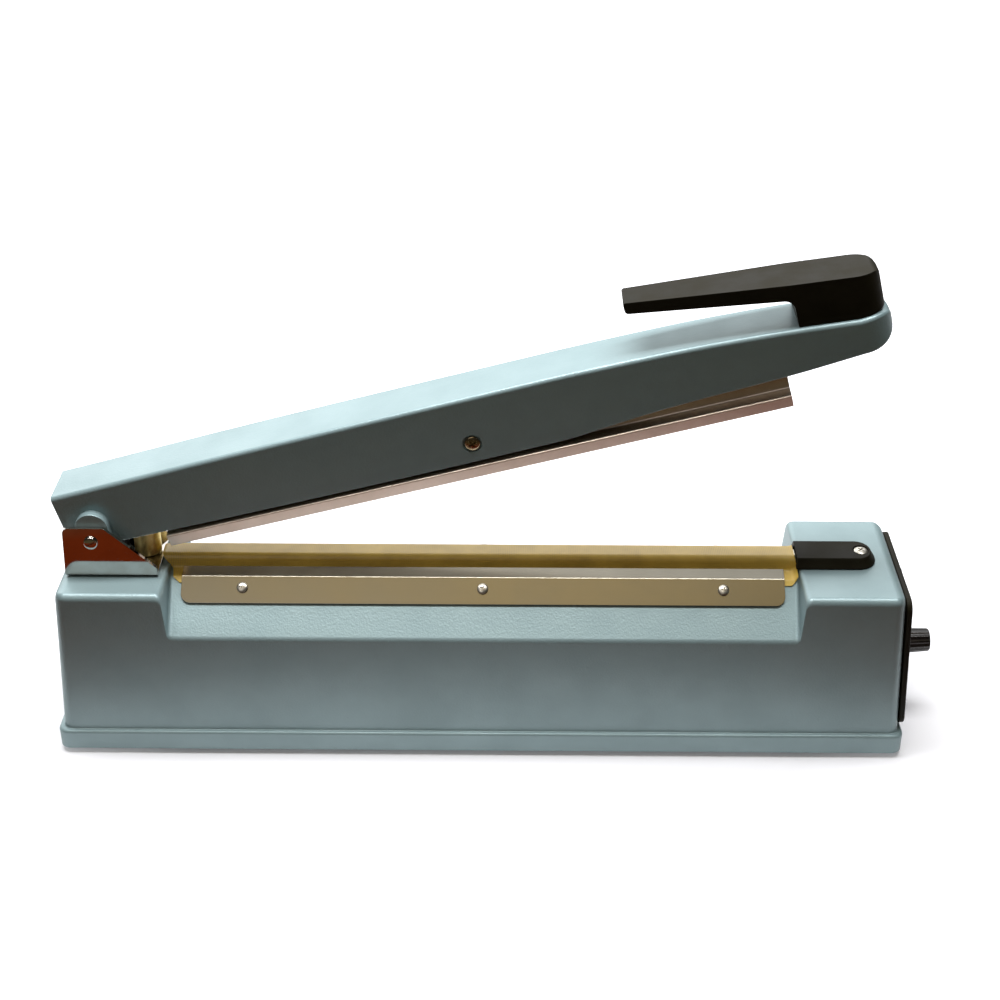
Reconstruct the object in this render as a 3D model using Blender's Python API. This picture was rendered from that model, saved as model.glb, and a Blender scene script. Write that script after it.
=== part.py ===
"""Impulse bag sealer: a cast housing with a heated sealing bar under a hinged pressing arm.

Metres, +Z up, with the origin on the floor under the middle of the whole sealer. +X runs from the
hinge to the timer knob, and the user stands on the -Y side. The arm is modelled open, at rest.
Heights of the housing's own shape are counted from the underside of its flange.
"""

import math

import bmesh
import bpy
from mathutils import Matrix, Vector

# Fits shared by all pieces
CLEARANCE = 0.0003
OVERRUN = 0.002
MERGE_DISTANCE = 0.000001
FILLET_LIMIT_SHARE = 0.45

# Facets of round shapes
ARC_STEPS = 3
ROUND_SIDES = 20
SCREW_SIDES = 10
HEX_SIDES = 6
SMOOTH_ANGLE = math.radians(35)

# Cast housing, whose length follows from the sealing bar between its two towers
HOUSING_WIDTH = 0.0886
HOUSING_HEIGHT = 0.0892
HOUSING_WALL = 0.003
CORNER_RADIUS = 0.004
INNER_CORNER_RADIUS = 0.0012
FLANGE_HEIGHT = 0.0101
FLANGE_LEDGE = 0.0023
FLANGE_FILLET = 0.0015
WALL_DRAFT_SHARE = 0.05
LEFT_TOWER_LENGTH = 0.0528
LEFT_BAR_GAP = 0.006545
RIGHT_TOWER_LENGTH = 0.0492
RIGHT_BAR_GAP = 0.007545
STEP_EDGE_FILLET = 0.0035
STEP_FOOT_FILLET = 0.0015
STEP_DRAFT_SHARE = 0.05
SADDLE_EDGE_DROP = 0.0241
SADDLE_EDGE_FILLET = 0.0035
SHOULDER_WIDTH = 0.026
SHOULDER_DROP = 0.0039
CREST_WIDTH = 0.015
CREST_DROP = 0.0026
BOSS_RADIUS = 0.005
BOSS_BORE_DEPTH = 0.012
SWITCH_RIB_THICKNESS = 0.003

# Feet, bottom plate and their screws
FOOT_HEIGHT = 0.0025
FOOT_RADIUS = 0.009
FOOT_TAPER = 0.0006
FOOT_INSET_X = 0.0383
FOOT_INSET_Y = 0.0143
FOOT_SEAT_HEIGHT = 0.0021
PLATE_RECESS = 0.001
PLATE_THICKNESS = 0.0012
PLATE_CORNER_RADIUS = 0.003
FOOT_SCREW_RADIUS = 0.0016
FOOT_SCREW_HEAD_RADIUS = 0.0034
FOOT_SCREW_HEAD_HEIGHT = 0.0014
FOOT_SCREW_LENGTH = 0.010

# Panel and timer control on the right end wall, placed up the wall from the flange
PANEL_THICKNESS = 0.0028
PANEL_LIFT = 0.0022
PANEL_TOP_GAP = 0.0034
PANEL_FOOT_GAP = 0.0035
PANEL_SHOULDER_GAP = 0.00297
PANEL_CORNER_RADIUS = 0.006
PANEL_SCREW_INSET = 0.0055
PANEL_SCREW_RADIUS = 0.0015
PANEL_SCREW_HEAD_RADIUS = 0.0029
PANEL_SCREW_HEAD_HEIGHT = 0.0015
PANEL_SCREW_LENGTH = 0.009
KNOB_LIFT = 0.0284
KNOB_LENGTH = 0.0177
KNOB_RADIUS = 0.0062
KNOB_TIP_RADIUS = 0.0058
KNOB_CHAMFER = 0.0009
KNOB_RIBS = 14
KNOB_RIB_DEPTH = 0.0004
KNOB_SKIRT_DEPTH = 0.0034
KNOB_TIP_WALL = 0.0022
SHAFT_RADIUS = 0.0025
BUSH_RADIUS = 0.0034
POT_RADIUS = 0.0085
POT_DEPTH = 0.008
POT_BACK = 0.002
BUSH_NUT_RADIUS = 0.0046
BUSH_NUT_THICKNESS = 0.002
LAMP_PLACE_SHARE = 0.6
LAMP_RADIUS = 0.0036
LAMP_BEZEL_RADIUS = 0.0048
LAMP_BEZEL_HEIGHT = 0.0012
LAMP_DEPTH = 0.012

# Mains inlet gland in the rear wall
GLAND_INSET = 0.0643
GLAND_Z = 0.025
GLAND_RADIUS = 0.0055
GLAND_COLLAR_RADIUS = 0.0078
GLAND_COLLAR_HEIGHT = 0.0022
GLAND_BORE_RADIUS = 0.0033
GLAND_DEPTH = 0.0065

# Transformer on the bottom plate
TRANSFORMER_INSET = 0.1643
CORE_LENGTH = 0.066
CORE_HEIGHT = 0.055
CORE_DEPTH = 0.036
CORE_LIMB = 0.022
CORE_YOKE = 0.011
WINDING_BUILD = 0.0104
STRAP_THICKNESS = 0.0012
STRAP_WIDTH = 0.024
STRAP_FOOT_LENGTH = 0.011
STRAP_SCREW_RADIUS = 0.0016
STRAP_SCREW_HEAD_RADIUS = 0.003
STRAP_SCREW_HEAD_HEIGHT = 0.002

# Timer circuit board
BOARD_INSET = 0.0963
BOARD_LENGTH = 0.058
BOARD_WIDTH = 0.046
BOARD_THICKNESS = 0.0016
PILLAR_HEIGHT = 0.006
PILLAR_RADIUS = 0.0025
PILLAR_INSET = 0.005
RELAY_LENGTH = 0.019
RELAY_WIDTH = 0.0155
RELAY_HEIGHT = 0.016
CAPACITOR_RADIUS = 0.005
CAPACITOR_HEIGHT = 0.0125
CAPACITOR_GAP = 0.004

# Sealing bar, its cloth and the strips that clamp the cloth
SEAL_LENGTH = 0.300
BAR_WIDTH = 0.010
BAR_HEIGHT = 0.0047
BAR_FILLET = 0.0008
TAPE_WIDTH = 0.0086
TAPE_THICKNESS = 0.0003
RIBBON_WIDTH = 0.005
RIBBON_THICKNESS = 0.0003
CLOTH_THICKNESS = 0.0004
CLOTH_TOP_WIDTH = 0.0124
CLOTH_FILLET = 0.002
CLOTH_FLAP = 0.0034
CLOTH_LEFT_REACH = 0.0045
CLOTH_RIGHT_REACH = 0.0055
STRIP_THICKNESS = 0.0008
STRIP_UPPER_WIDTH = 0.0053
STRIP_LOWER_WIDTH = 0.0154
STRIP_CORNER_RADIUS = 0.005
STRIP_SCREW_INSET = 0.0305
STRIP_SCREW_DROP = 0.0068
STRIP_SCREW_RADIUS = 0.0015
STRIP_SCREW_HEAD_RADIUS = 0.0028
STRIP_SCREW_HEAD_HEIGHT = 0.0017
STRIP_SCREW_LENGTH = 0.007
LEFT_TERMINAL_LENGTH = 0.004
RIGHT_TERMINAL_LENGTH = 0.010
RIGHT_TERMINAL_GAP = 0.006
TERMINAL_WIDTH = 0.007

# Moulded cover over the right terminal
COVER_LENGTH = 0.0384
COVER_WIDTH = 0.0214
COVER_TOP_WIDTH = 0.0158
COVER_HEIGHT = 0.005
COVER_ROOF = 0.0009
COVER_GAP = 0.0008
COVER_CAVITY_LENGTH = 0.021
COVER_CAVITY_WIDTH = 0.011
COVER_SCREW_INSET = 0.0073
COVER_SCREW_RADIUS = 0.0018
COVER_SCREW_HEAD_RADIUS = 0.0036
COVER_SCREW_HEAD_HEIGHT = 0.0017
COVER_SCREW_SINK = 0.0014
COVER_SCREW_LENGTH = 0.010

# Hinge bracket, a U of chromed sheet on the left tower
BRACKET_SHEET = 0.0019
BRACKET_WIDTH = 0.042
BRACKET_INSET = 0.0025
BRACKET_LENGTH = 0.0462
BRACKET_BEND = 0.0035
EAR_HEIGHT = 0.0282
EAR_TOP_LENGTH = 0.0222
EAR_FRONT_HEIGHT = 0.0056
EAR_FILLET = 0.004
BRACKET_SCREW_X = 0.008
BRACKET_SCREW_Y = 0.013
BRACKET_SCREW_RADIUS = 0.002
BRACKET_SCREW_HEAD_RADIUS = 0.0036
BRACKET_SCREW_HEAD_HEIGHT = 0.0024
BRACKET_SCREW_LENGTH = 0.010
PIVOT_INSET = 0.018
PIVOT_HEIGHT = 0.0203
PIN_RADIUS = 0.003
PIN_HEAD_RADIUS = 0.00375
PIN_HEAD_HEIGHT = 0.0016
PIN_TAIL = 0.0006
PIN_NUT_RADIUS = 0.0062
PIN_NUT_THICKNESS = 0.0026

# Lift spring in its cup
SPRING_X = 0.0227
CUP_RADIUS = 0.00675
CUP_WALL = 0.001
CUP_HEIGHT = 0.0163
SPRING_RADIUS = 0.0045
SPRING_WIRE_RADIUS = 0.0007
SPRING_TURNS = 8
SPRING_TURN_POINTS = 10
SPRING_WIRE_RESOLUTION = 1

# Micro switch in the left tower and the plunger that the arm presses
SWITCH_LENGTH = 0.028
SWITCH_WIDTH = 0.010
SWITCH_HEIGHT = 0.016
SWITCH_DEPTH = 0.0212
PLUNGER_X = 0.012
PLUNGER_RADIUS = 0.0015
PLUNGER_COLLAR_RADIUS = 0.003
PLUNGER_COLLAR_HEIGHT = 0.0015
PLUNGER_TRAVEL = 0.0015

# Arm, a cast channel, sized from the hinge axis along its own length
OPEN_ANGLE = math.radians(15.2)
ARM_REAR = 0.013
ARM_TIP_INSET = 0.00089
ARM_TOP = 0.0245
ARM_BOTTOM = 0.0065
ARM_WIDTH = 0.0282
ARM_WALL = 0.0025
ARM_FILLET = 0.003
ARM_SOLID_TIP = 0.0492
ARM_CHANNEL_SLOPE_LENGTH = 0.086
ARM_CHANNEL_FRONT_TOP = 0.018
# Along the arm as shares of its length, then the rise of its underside and the fall of its top as
# shares of its depth, and its width and edge fillet as shares of those at the hinge
ARM_SHAPE_SHARES = (
    (0.595, 0.000, 0.000, 1.00, 1.0),
    (0.643, 0.068, 0.000, 1.01, 1.1),
    (0.706, 0.142, 0.013, 1.02, 1.2),
    (0.767, 0.187, 0.032, 1.04, 1.3),
    (0.828, 0.210, 0.068, 1.06, 1.5),
    (0.886, 0.235, 0.113, 1.08, 1.6),
    (0.960, 0.297, 0.165, 1.08, 1.6),
)
ARM_TIP_STEPS = 5
ARM_TIP_POWER_SHARE = 0.8
ARM_TIP_END_SHARE = 0.16
ARM_BOSS_RADIUS = 0.0095
ARM_BOSS_UPPER_RADIUS = 0.0082
ARM_BOSS_UPPER_X = 0.001
ARM_BOSS_UPPER_Z = 0.0064
RIB_THICKNESS = 0.005
RIB_DROP = 0.0055

# Handle, placed from the tip of the arm
HANDLE_END_INSET = 0.0022
HANDLE_LENGTH = 0.116
HANDLE_TIP_TOP = 0.0512
HANDLE_TIP_THICKNESS = 0.0056
HANDLE_THROAT_THICKNESS = 0.0079
HANDLE_TOP_FALL = 0.0136
HANDLE_POST_LENGTH = 0.0405
HANDLE_TIP_WIDTH = 0.015
HANDLE_POST_WIDTH = 0.025
HANDLE_TIP_FILLET = 0.002
HANDLE_THROAT_FILLET = 0.005
HANDLE_CROWN_FILLET = 0.004
HANDLE_SCREW_INSET = 0.0065
HANDLE_SCREW_SPACING = 0.0165
HANDLE_SCREW_RADIUS = 0.002
HANDLE_SCREW_HEAD_RADIUS = 0.0036
HANDLE_SCREW_HEAD_HEIGHT = 0.0024
HANDLE_SCREW_SEAT = 0.0075
HANDLE_SCREW_LENGTH = 0.020

# Jaw bar on a screw through the middle of the arm: it hangs tilted, and rocks until it lies flat when pressed
JAW_TILT = math.radians(0.35)
JAW_ROCK = math.radians(0.2)
JAW_PIVOT_OFFSET = 0.002755
JAW_PIVOT_Z = 0.002
JAW_REAR_REACH = 0.003845
JAW_FRONT_REACH = 0.002155
JAW_HALF_FOOT = 0.0138
JAW_HALF_WALL = 0.0095
JAW_LIP = 0.0038
JAW_FLARE_HEIGHT = 0.0025
JAW_SHEET = 0.0015
JAW_TOP = 0.0052
SILICONE_THICKNESS = 0.0015
SILICONE_SHY = 0.0006
PRESS_GAP = 0.0004
JAW_SCREW_RADIUS = 0.0025
JAW_SCREW_SLACK = 0.0005
JAW_SCREW_HEAD_RADIUS = 0.00375
JAW_SCREW_HEAD_HEIGHT = 0.0013
JAW_SCREW_RECESS_RADIUS = 0.0046
JAW_SCREW_RECESS_DEPTH = 0.0013

# Colour, roughness and metallic share of each finish
FINISHES = {
    "hammer_enamel": ((0.26, 0.36, 0.38), 0.35, 0.0),
    "black_plastic": ((0.012, 0.012, 0.013), 0.42, 0.0),
    "grey_plastic": ((0.10, 0.10, 0.11), 0.5, 0.0),
    "red_lens": ((0.55, 0.02, 0.01), 0.2, 0.0),
    "rubber": ((0.015, 0.015, 0.015), 0.8, 0.0),
    "chrome": ((0.62, 0.60, 0.58), 0.12, 1.0),
    "stainless": ((0.42, 0.40, 0.34), 0.35, 1.0),
    "zinc_steel": ((0.55, 0.55, 0.54), 0.4, 1.0),
    "aluminium": ((0.60, 0.58, 0.53), 0.4, 1.0),
    "brass": ((0.58, 0.45, 0.18), 0.35, 1.0),
    "copper": ((0.60, 0.25, 0.12), 0.4, 1.0),
    "laminated_steel": ((0.20, 0.20, 0.21), 0.55, 1.0),
    "ptfe_cloth": ((0.36, 0.26, 0.11), 0.55, 0.0),
    "glass_tape": ((0.75, 0.72, 0.62), 0.7, 0.0),
    "silicone": ((0.34, 0.33, 0.31), 0.6, 0.0),
    "circuit_green": ((0.03, 0.16, 0.07), 0.45, 0.0),
}

# Places worked out from the sizes
TOWER_TOP = FOOT_HEIGHT + HOUSING_HEIGHT
SADDLE_EDGE_HEIGHT = HOUSING_HEIGHT - SADDLE_EDGE_DROP
SHOULDER_HEIGHT = HOUSING_HEIGHT - SHOULDER_DROP
CREST_HEIGHT = HOUSING_HEIGHT - CREST_DROP
CREST_Z = FOOT_HEIGHT + CREST_HEIGHT
PLATE_BOTTOM = FOOT_HEIGHT + PLATE_RECESS
PLATE_TOP = PLATE_BOTTOM + PLATE_THICKNESS
WALL_TILT = math.atan(WALL_DRAFT_SHARE)
SADDLE_LENGTH = LEFT_BAR_GAP + SEAL_LENGTH + RIGHT_BAR_GAP
TOP_HALF_LENGTH = (LEFT_TOWER_LENGTH + SADDLE_LENGTH + RIGHT_TOWER_LENGTH) / 2
WALL_HEIGHT = HOUSING_HEIGHT - FLANGE_HEIGHT
HOUSING_LENGTH = 2 * (TOP_HALF_LENGTH + WALL_DRAFT_SHARE * WALL_HEIGHT + FLANGE_LEDGE)
LEFT_STEP_X = LEFT_TOWER_LENGTH - TOP_HALF_LENGTH
RIGHT_STEP_X = TOP_HALF_LENGTH - RIGHT_TOWER_LENGTH
PIVOT_X = PIVOT_INSET - TOP_HALF_LENGTH
PIVOT_Z = TOWER_TOP + PIVOT_HEIGHT
BAR_BOTTOM = CREST_Z + CLEARANCE
BAR_TOP = BAR_BOTTOM + BAR_HEIGHT
TAPE_BOTTOM = BAR_TOP + CLEARANCE
RIBBON_BOTTOM = TAPE_BOTTOM + TAPE_THICKNESS + CLEARANCE
CLOTH_TOP = RIBBON_BOTTOM + RIBBON_THICKNESS + CLEARANCE + CLOTH_THICKNESS
SEAL_LEFT = LEFT_STEP_X + LEFT_BAR_GAP
SEAL_CENTRE = SEAL_LEFT + SEAL_LENGTH / 2
SEAL_RIGHT = SEAL_LEFT + SEAL_LENGTH
BRACKET_BOTTOM = TOWER_TOP + CLEARANCE
BRACKET_TOP = BRACKET_BOTTOM + BRACKET_SHEET
BRACKET_REAR = BRACKET_INSET - TOP_HALF_LENGTH
ARM_LENGTH = TOP_HALF_LENGTH - ARM_TIP_INSET - PIVOT_X
ARM_DEPTH = ARM_TOP + ARM_BOTTOM
ARM_ROOF = ARM_TOP - ARM_WALL
ARM_CHANNEL_END = ARM_LENGTH - ARM_SOLID_TIP
HANDLE_END_X = ARM_LENGTH - HANDLE_END_INSET
HANDLE_TIP_X = HANDLE_END_X - HANDLE_LENGTH
HANDLE_POST_X = HANDLE_END_X - HANDLE_POST_LENGTH
JAW_PIVOT_X = SEAL_CENTRE + JAW_PIVOT_OFFSET - PIVOT_X
JAW_REAR = JAW_PIVOT_X - (SEAL_LEFT - JAW_REAR_REACH - PIVOT_X)
JAW_LENGTH = JAW_REAR_REACH + SEAL_LENGTH + JAW_FRONT_REACH
PRESSED_ANGLE = JAW_TILT - JAW_ROCK
JAW_RISE = JAW_PIVOT_X * math.sin(PRESSED_ANGLE) + JAW_PIVOT_Z * math.cos(PRESSED_ANGLE)
JAW_DROP = PIVOT_Z + JAW_RISE - CLOTH_TOP - PRESS_GAP
BOARD_BOTTOM = PLATE_TOP + PILLAR_HEIGHT + CLEARANCE
BOARD_TOP = BOARD_BOTTOM + BOARD_THICKNESS
PANEL_TOP = WALL_HEIGHT - PANEL_TOP_GAP
PANEL_SCREW_HIGH = PANEL_TOP - PANEL_SCREW_INSET
LAMP_LIFT = KNOB_LIFT + LAMP_PLACE_SHARE * (PANEL_SCREW_HIGH - KNOB_LIFT)
PANEL_FACE = CLEARANCE + PANEL_THICKNESS
KNOB_START = PANEL_FACE + CLEARANCE
TRANSFORMER_X = TRANSFORMER_INSET - HOUSING_LENGTH / 2
BOARD_X = HOUSING_LENGTH / 2 - BOARD_INSET
GLAND_X = HOUSING_LENGTH / 2 - GLAND_INSET
SWITCH_TOP = HOUSING_HEIGHT - SWITCH_DEPTH
WALL_FOOT_X = HOUSING_LENGTH / 2 - FLANGE_LEDGE
WALL_FOOT_Z = FOOT_HEIGHT + FLANGE_HEIGHT
STRIP_LIFT = 2 * CLEARANCE + CLOTH_THICKNESS


def right_reach():
    """How far right the lower edge of the leaning knob's tip reaches from the housing's middle."""
    outward = (KNOB_START + KNOB_LENGTH) * math.cos(WALL_TILT)
    return WALL_FOOT_X + outward - (KNOB_LIFT - KNOB_TIP_RADIUS + KNOB_CHAMFER) * math.sin(WALL_TILT)


MIDDLE_X = (right_reach() - HOUSING_LENGTH / 2) / 2


# Outlines and solids


def along_x(u, v, w):
    """An outline in the YZ plane, swept along X."""
    return Vector((w, u, v))


def along_y(u, v, w):
    """An outline in the XZ plane, swept along Y."""
    return Vector((u, w, v))


def along_z(u, v, w):
    """An outline in the XY plane, swept along Z."""
    return Vector((u, v, w))


def corner_arc(before, corner, after, radius, steps):
    """The points that round one corner of an outline."""
    back = before - corner
    ahead = after - corner
    half = back.angle(ahead) / 2
    run = min(radius / math.tan(half), FILLET_LIMIT_SHARE * back.length, FILLET_LIMIT_SHARE * ahead.length)
    bisector = (back.normalized() + ahead.normalized()).normalized()
    centre = corner + bisector * (run / math.cos(half))
    start = corner + back.normalized() * run - centre
    end = corner + ahead.normalized() * run - centre
    turn = math.atan2(start.x * end.y - start.y * end.x, start.dot(end))
    points = []
    for step in range(steps + 1):
        angle = turn * step / steps
        x = start.x * math.cos(angle) - start.y * math.sin(angle)
        y = start.x * math.sin(angle) + start.y * math.cos(angle)
        points.append(centre + Vector((x, y)))
    return points


def filleted(corners, steps=ARC_STEPS):
    """A closed outline from corners (u, v, fillet radius)."""
    points = []
    for index, (u, v, radius) in enumerate(corners):
        corner = Vector((u, v))
        if radius == 0:
            points.append(corner)
            continue
        before = Vector(corners[index - 1][:2])
        after = Vector(corners[(index + 1) % len(corners)][:2])
        points += corner_arc(before, corner, after, radius, steps)
    return points


def rectangle(left, right, low, high, radius=0):
    """A rectangle's outline with its corners rounded."""
    return filleted([(left, low, radius), (right, low, radius), (right, high, radius), (left, high, radius)])


def circle(radius, sides, centre=(0, 0)):
    """A round outline."""
    middle = Vector(centre)
    turns = [math.tau * step / sides for step in range(sides)]
    return [middle + radius * Vector((math.cos(turn), math.sin(turn))) for turn in turns]


def add_skin(bm, rings, wrap=False):
    """Quads between neighbouring rings of points, each ring closed on itself."""
    loops = [[bm.verts.new(point) for point in ring] for ring in rings]
    pairs = list(zip(loops, loops[1:]))
    if wrap:
        pairs.append((loops[-1], loops[0]))
    for first, second in pairs:
        for index in range(len(first)):
            after = (index + 1) % len(first)
            bm.faces.new((first[index], first[after], second[after], second[index]))
    return loops


def add_loft(bm, rings):
    """A solid through rings of points, closed by flat caps."""
    loops = add_skin(bm, rings)
    bm.faces.new(loops[0])
    bm.faces.new(loops[-1])


def add_prism(bm, outline, low, high, place):
    """An outline swept straight between two depths."""
    add_loft(bm, [[place(u, v, depth) for u, v in outline] for depth in (low, high)])


def add_turned(bm, profile, place, sides=ROUND_SIDES, hollow=False, centre=(0, 0)):
    """A profile of (radius, depth) turned about its axis; a hollow one closes on itself."""
    rings = [[place(u, v, depth) for u, v in circle(radius, sides, centre)] for radius, depth in profile]
    add_skin(bm, rings, wrap=hollow)


def add_rod(bm, radius, low, high, place, centre=(0, 0), sides=SCREW_SIDES):
    """A plain round rod."""
    add_turned(bm, [(0, low), (radius, low), (radius, high), (0, high)], place, sides, centre=centre)


# Scene objects


def clear_scene():
    """Removes whatever the scene starts with."""
    for obj in list(bpy.data.objects):
        bpy.data.objects.remove(obj, do_unlink=True)


def finish_of(name):
    """The material of a named finish, made on first use."""
    material = bpy.data.materials.get(name)
    if material:
        return material
    colour, roughness, metallic = FINISHES[name]
    material = bpy.data.materials.new(name)
    material.use_nodes = True
    shader = material.node_tree.nodes["Principled BSDF"]
    shader.inputs["Base Color"].default_value = (*colour, 1)
    shader.inputs["Roughness"].default_value = roughness
    shader.inputs["Metallic"].default_value = metallic
    material.diffuse_color = (*colour, 1)
    return material


def settle(bm):
    """Merges the poles and turns the faces outward."""
    bmesh.ops.remove_doubles(bm, verts=bm.verts, dist=MERGE_DISTANCE)
    bmesh.ops.recalc_face_normals(bm, faces=bm.faces)


def add_object(name, bm, parent, location=(0, 0, 0), rotation=(0, 0, 0)):
    """An object under its parent empty, from a finished bmesh."""
    settle(bm)
    mesh = bpy.data.meshes.new(name)
    bm.to_mesh(mesh)
    bm.free()
    obj = bpy.data.objects.new(name, mesh)
    obj.location = location
    obj.rotation_euler = rotation
    obj.parent = parent
    bpy.context.scene.collection.objects.link(obj)
    return obj


def add_piece(name, bm, finish, parent, location=(0, 0, 0), rotation=(0, 0, 0), smooth=False):
    """One physical piece of the sealer."""
    piece = add_object(name, bm, parent, location, rotation)
    piece.data.materials.append(finish_of(finish))
    if smooth:
        piece.data.shade_smooth()
        piece.data.set_sharp_from_angle(angle=SMOOTH_ANGLE)
    return piece


def add_guide(name, bm, parent, location=(0, 0, 0), rotation=(0, 0, 0)):
    """A helper shape that a Boolean reads and a render leaves out."""
    guide = add_object(name, bm, parent, location, rotation)
    guide.hide_render = True
    guide.display_type = "WIRE"
    return guide


def combine(piece, operation, guide):
    """Joins a guide to a piece, cuts it away or keeps what they share."""
    modifier = piece.modifiers.new(guide.name, "BOOLEAN")
    modifier.operation = operation
    modifier.solver = "EXACT"
    modifier.object = guide


def add_frame(name, parent, location=(0, 0, 0), rotation=(0, 0, 0)):
    """An empty that carries pieces and, where they move, stands on their joint's axis."""
    frame = bpy.data.objects.new(name, None)
    frame.location = location
    frame.rotation_euler = rotation
    frame.parent = parent
    bpy.context.scene.collection.objects.link(frame)
    return frame


def pan_screw(name, finish, parent, location, rotation, radius, head_radius, head_height, length):
    """A pan head screw: its seat is at the location and its shank runs down its own Z."""
    bm = bmesh.new()
    shoulder = head_height / 2
    crown = head_radius - shoulder
    profile = [
        (0, CLEARANCE + head_height),
        (crown, CLEARANCE + head_height),
        (head_radius, CLEARANCE + shoulder),
        (head_radius, CLEARANCE),
        (radius, CLEARANCE),
        (radius, -length),
        (0, -length),
    ]
    add_turned(bm, profile, along_z, SCREW_SIDES)
    return add_piece(name, bm, finish, parent, location, rotation, smooth=True)


# Housing


def wall_half_width(height, inset=0):
    """Half the width between the leaning side walls at a height, less an inset."""
    lean = WALL_DRAFT_SHARE * (height - FLANGE_HEIGHT)
    return HOUSING_WIDTH / 2 - FLANGE_LEDGE - lean - inset


def saddle_line(inset):
    """The saddle's corners from the wall up to the middle, lowered to leave a wall of the inset."""
    edge_y = wall_half_width(SADDLE_EDGE_HEIGHT)
    slope = (SHOULDER_HEIGHT - SADDLE_EDGE_HEIGHT) / (edge_y - SHOULDER_WIDTH / 2)
    fall = inset * math.hypot(1, slope)
    shoulder = Vector((SHOULDER_WIDTH / 2, SHOULDER_HEIGHT - fall))
    crest = Vector((CREST_WIDTH / 2, CREST_HEIGHT - fall))
    foot_y = wall_half_width(0, inset)
    level_z = shoulder.y + slope * shoulder.x
    edge_z = (level_z - slope * foot_y) / (1 - slope * WALL_DRAFT_SHARE)
    edge = Vector((wall_half_width(edge_z, inset), edge_z))
    return edge, shoulder, crest


def foot_points(inset, trim):
    """The flange and the foot of the side wall as (y, z, set back from the flange's end)."""
    half = HOUSING_WIDTH / 2 - trim
    if inset:
        low = -OVERRUN
        return [(wall_half_width(low, inset) - trim, low, HOUSING_WIDTH / 2 - wall_half_width(low, inset))]
    points = [(half, 0, 0)]
    for step in range(ARC_STEPS + 1):
        angle = math.pi / 2 * step / ARC_STEPS
        back = FLANGE_FILLET * (1 - math.cos(angle))
        points.append((half - back, FLANGE_HEIGHT - FLANGE_FILLET * (1 - math.sin(angle)), back))
    points.append((half - FLANGE_LEDGE, FLANGE_HEIGHT, FLANGE_LEDGE))
    return points


def tower_half(inset, trim):
    """Half a cross-section through a tower, from the flange to the middle of its top."""
    radius = INNER_CORNER_RADIUS if inset else CORNER_RADIUS
    top = HOUSING_HEIGHT - inset
    spring_y = wall_half_width(top - radius, inset)
    back = HOUSING_WIDTH / 2 - spring_y
    points = foot_points(inset, trim)
    for step in range(ARC_STEPS + 1):
        angle = math.pi / 2 * step / ARC_STEPS
        y = spring_y - radius + (radius - trim) * math.cos(angle)
        z = top - radius + (radius - trim) * math.sin(angle)
        points.append((y, z, back))
    for corner in saddle_line(inset)[1:]:
        points.append((corner.x, top - trim, back))
    points.append((0, top - trim, back))
    return points


def saddle_half(inset):
    """Half a cross-section through the saddle, point for point like a tower's."""
    edge, shoulder, crest = saddle_line(inset)
    points = foot_points(inset, 0)
    below = Vector((wall_half_width(0, inset), 0))
    for point in corner_arc(below, edge, shoulder, SADDLE_EDGE_FILLET, ARC_STEPS):
        points.append((point.x, point.y, 0))
    for corner in (shoulder, crest):
        points.append((corner.x, corner.y, 0))
    points.append((0, crest.y, 0))
    return points


def whole_ring(half):
    """A cross-section from half of it, as points in space above the floor."""
    mirrored = [Vector((x, -y, z)) for x, y, z in reversed(half[:-1])]
    lift = Vector((0, 0, FOOT_HEIGHT))
    return [point + lift for point in [Vector(point) for point in half] + mirrored]


def end_rings(inset, side):
    """Cross-sections that round a tower into its end wall, from the end inward."""
    radius = INNER_CORNER_RADIUS if inset else CORNER_RADIUS
    rings = []
    for step in range(ARC_STEPS + 1):
        angle = math.pi / 2 * step / ARC_STEPS
        section = tower_half(inset, radius * (1 - math.sin(angle)))
        reach = HOUSING_LENGTH / 2 - radius * (1 - math.cos(angle))
        rings.append(whole_ring([(side * (reach - back), y, z) for y, z, back in section]))
    return rings


def step_path(drop):
    """(inward, fallen share) down a tower's inner wall, round its edge and its foot."""
    falls = drop > MERGE_DISTANCE
    edge = min(STEP_EDGE_FILLET, FILLET_LIMIT_SHARE * drop) if falls else STEP_EDGE_FILLET
    foot = min(STEP_FOOT_FILLET, FILLET_LIMIT_SHARE * drop) if falls else STEP_FOOT_FILLET
    lean = STEP_DRAFT_SHARE * drop
    path = []
    for step in range(ARC_STEPS + 1):
        angle = math.pi / 2 * step / ARC_STEPS
        path.append((edge * (math.sin(angle) - 1), edge * (1 - math.cos(angle))))
    for step in range(ARC_STEPS + 1):
        angle = math.pi / 2 * step / ARC_STEPS
        path.append((lean + foot * (1 - math.cos(angle)), drop - foot * (1 - math.sin(angle))))
    return [(inward, fallen / drop if falls else 0) for inward, fallen in path]


def step_rings(inset, side, edge_x):
    """Cross-sections down a tower's inner wall, from the tower to the saddle."""
    tower = tower_half(inset, 0)
    saddle = saddle_half(inset)
    paths = [step_path(high[1] - low[1]) for high, low in zip(tower, saddle)]
    rings = []
    for step in range(len(paths[0])):
        half = []
        for high, low, path in zip(tower, saddle, paths):
            inward, share = path[step]
            y = high[0] + (low[0] - high[0]) * share
            z = high[1] + (low[1] - high[1]) * share
            half.append((edge_x - side * inward, y, z))
        rings.append(whole_ring(half))
    return rings


def add_end_cap(bm, loop, ledges):
    """Closes an end: the flange in strips, then the flat end wall."""
    for index in range(ledges):
        bm.faces.new((loop[index], loop[index + 1], loop[-index - 2], loop[-index - 1]))
    bm.faces.new(loop[ledges : len(loop) - ledges])


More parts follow.
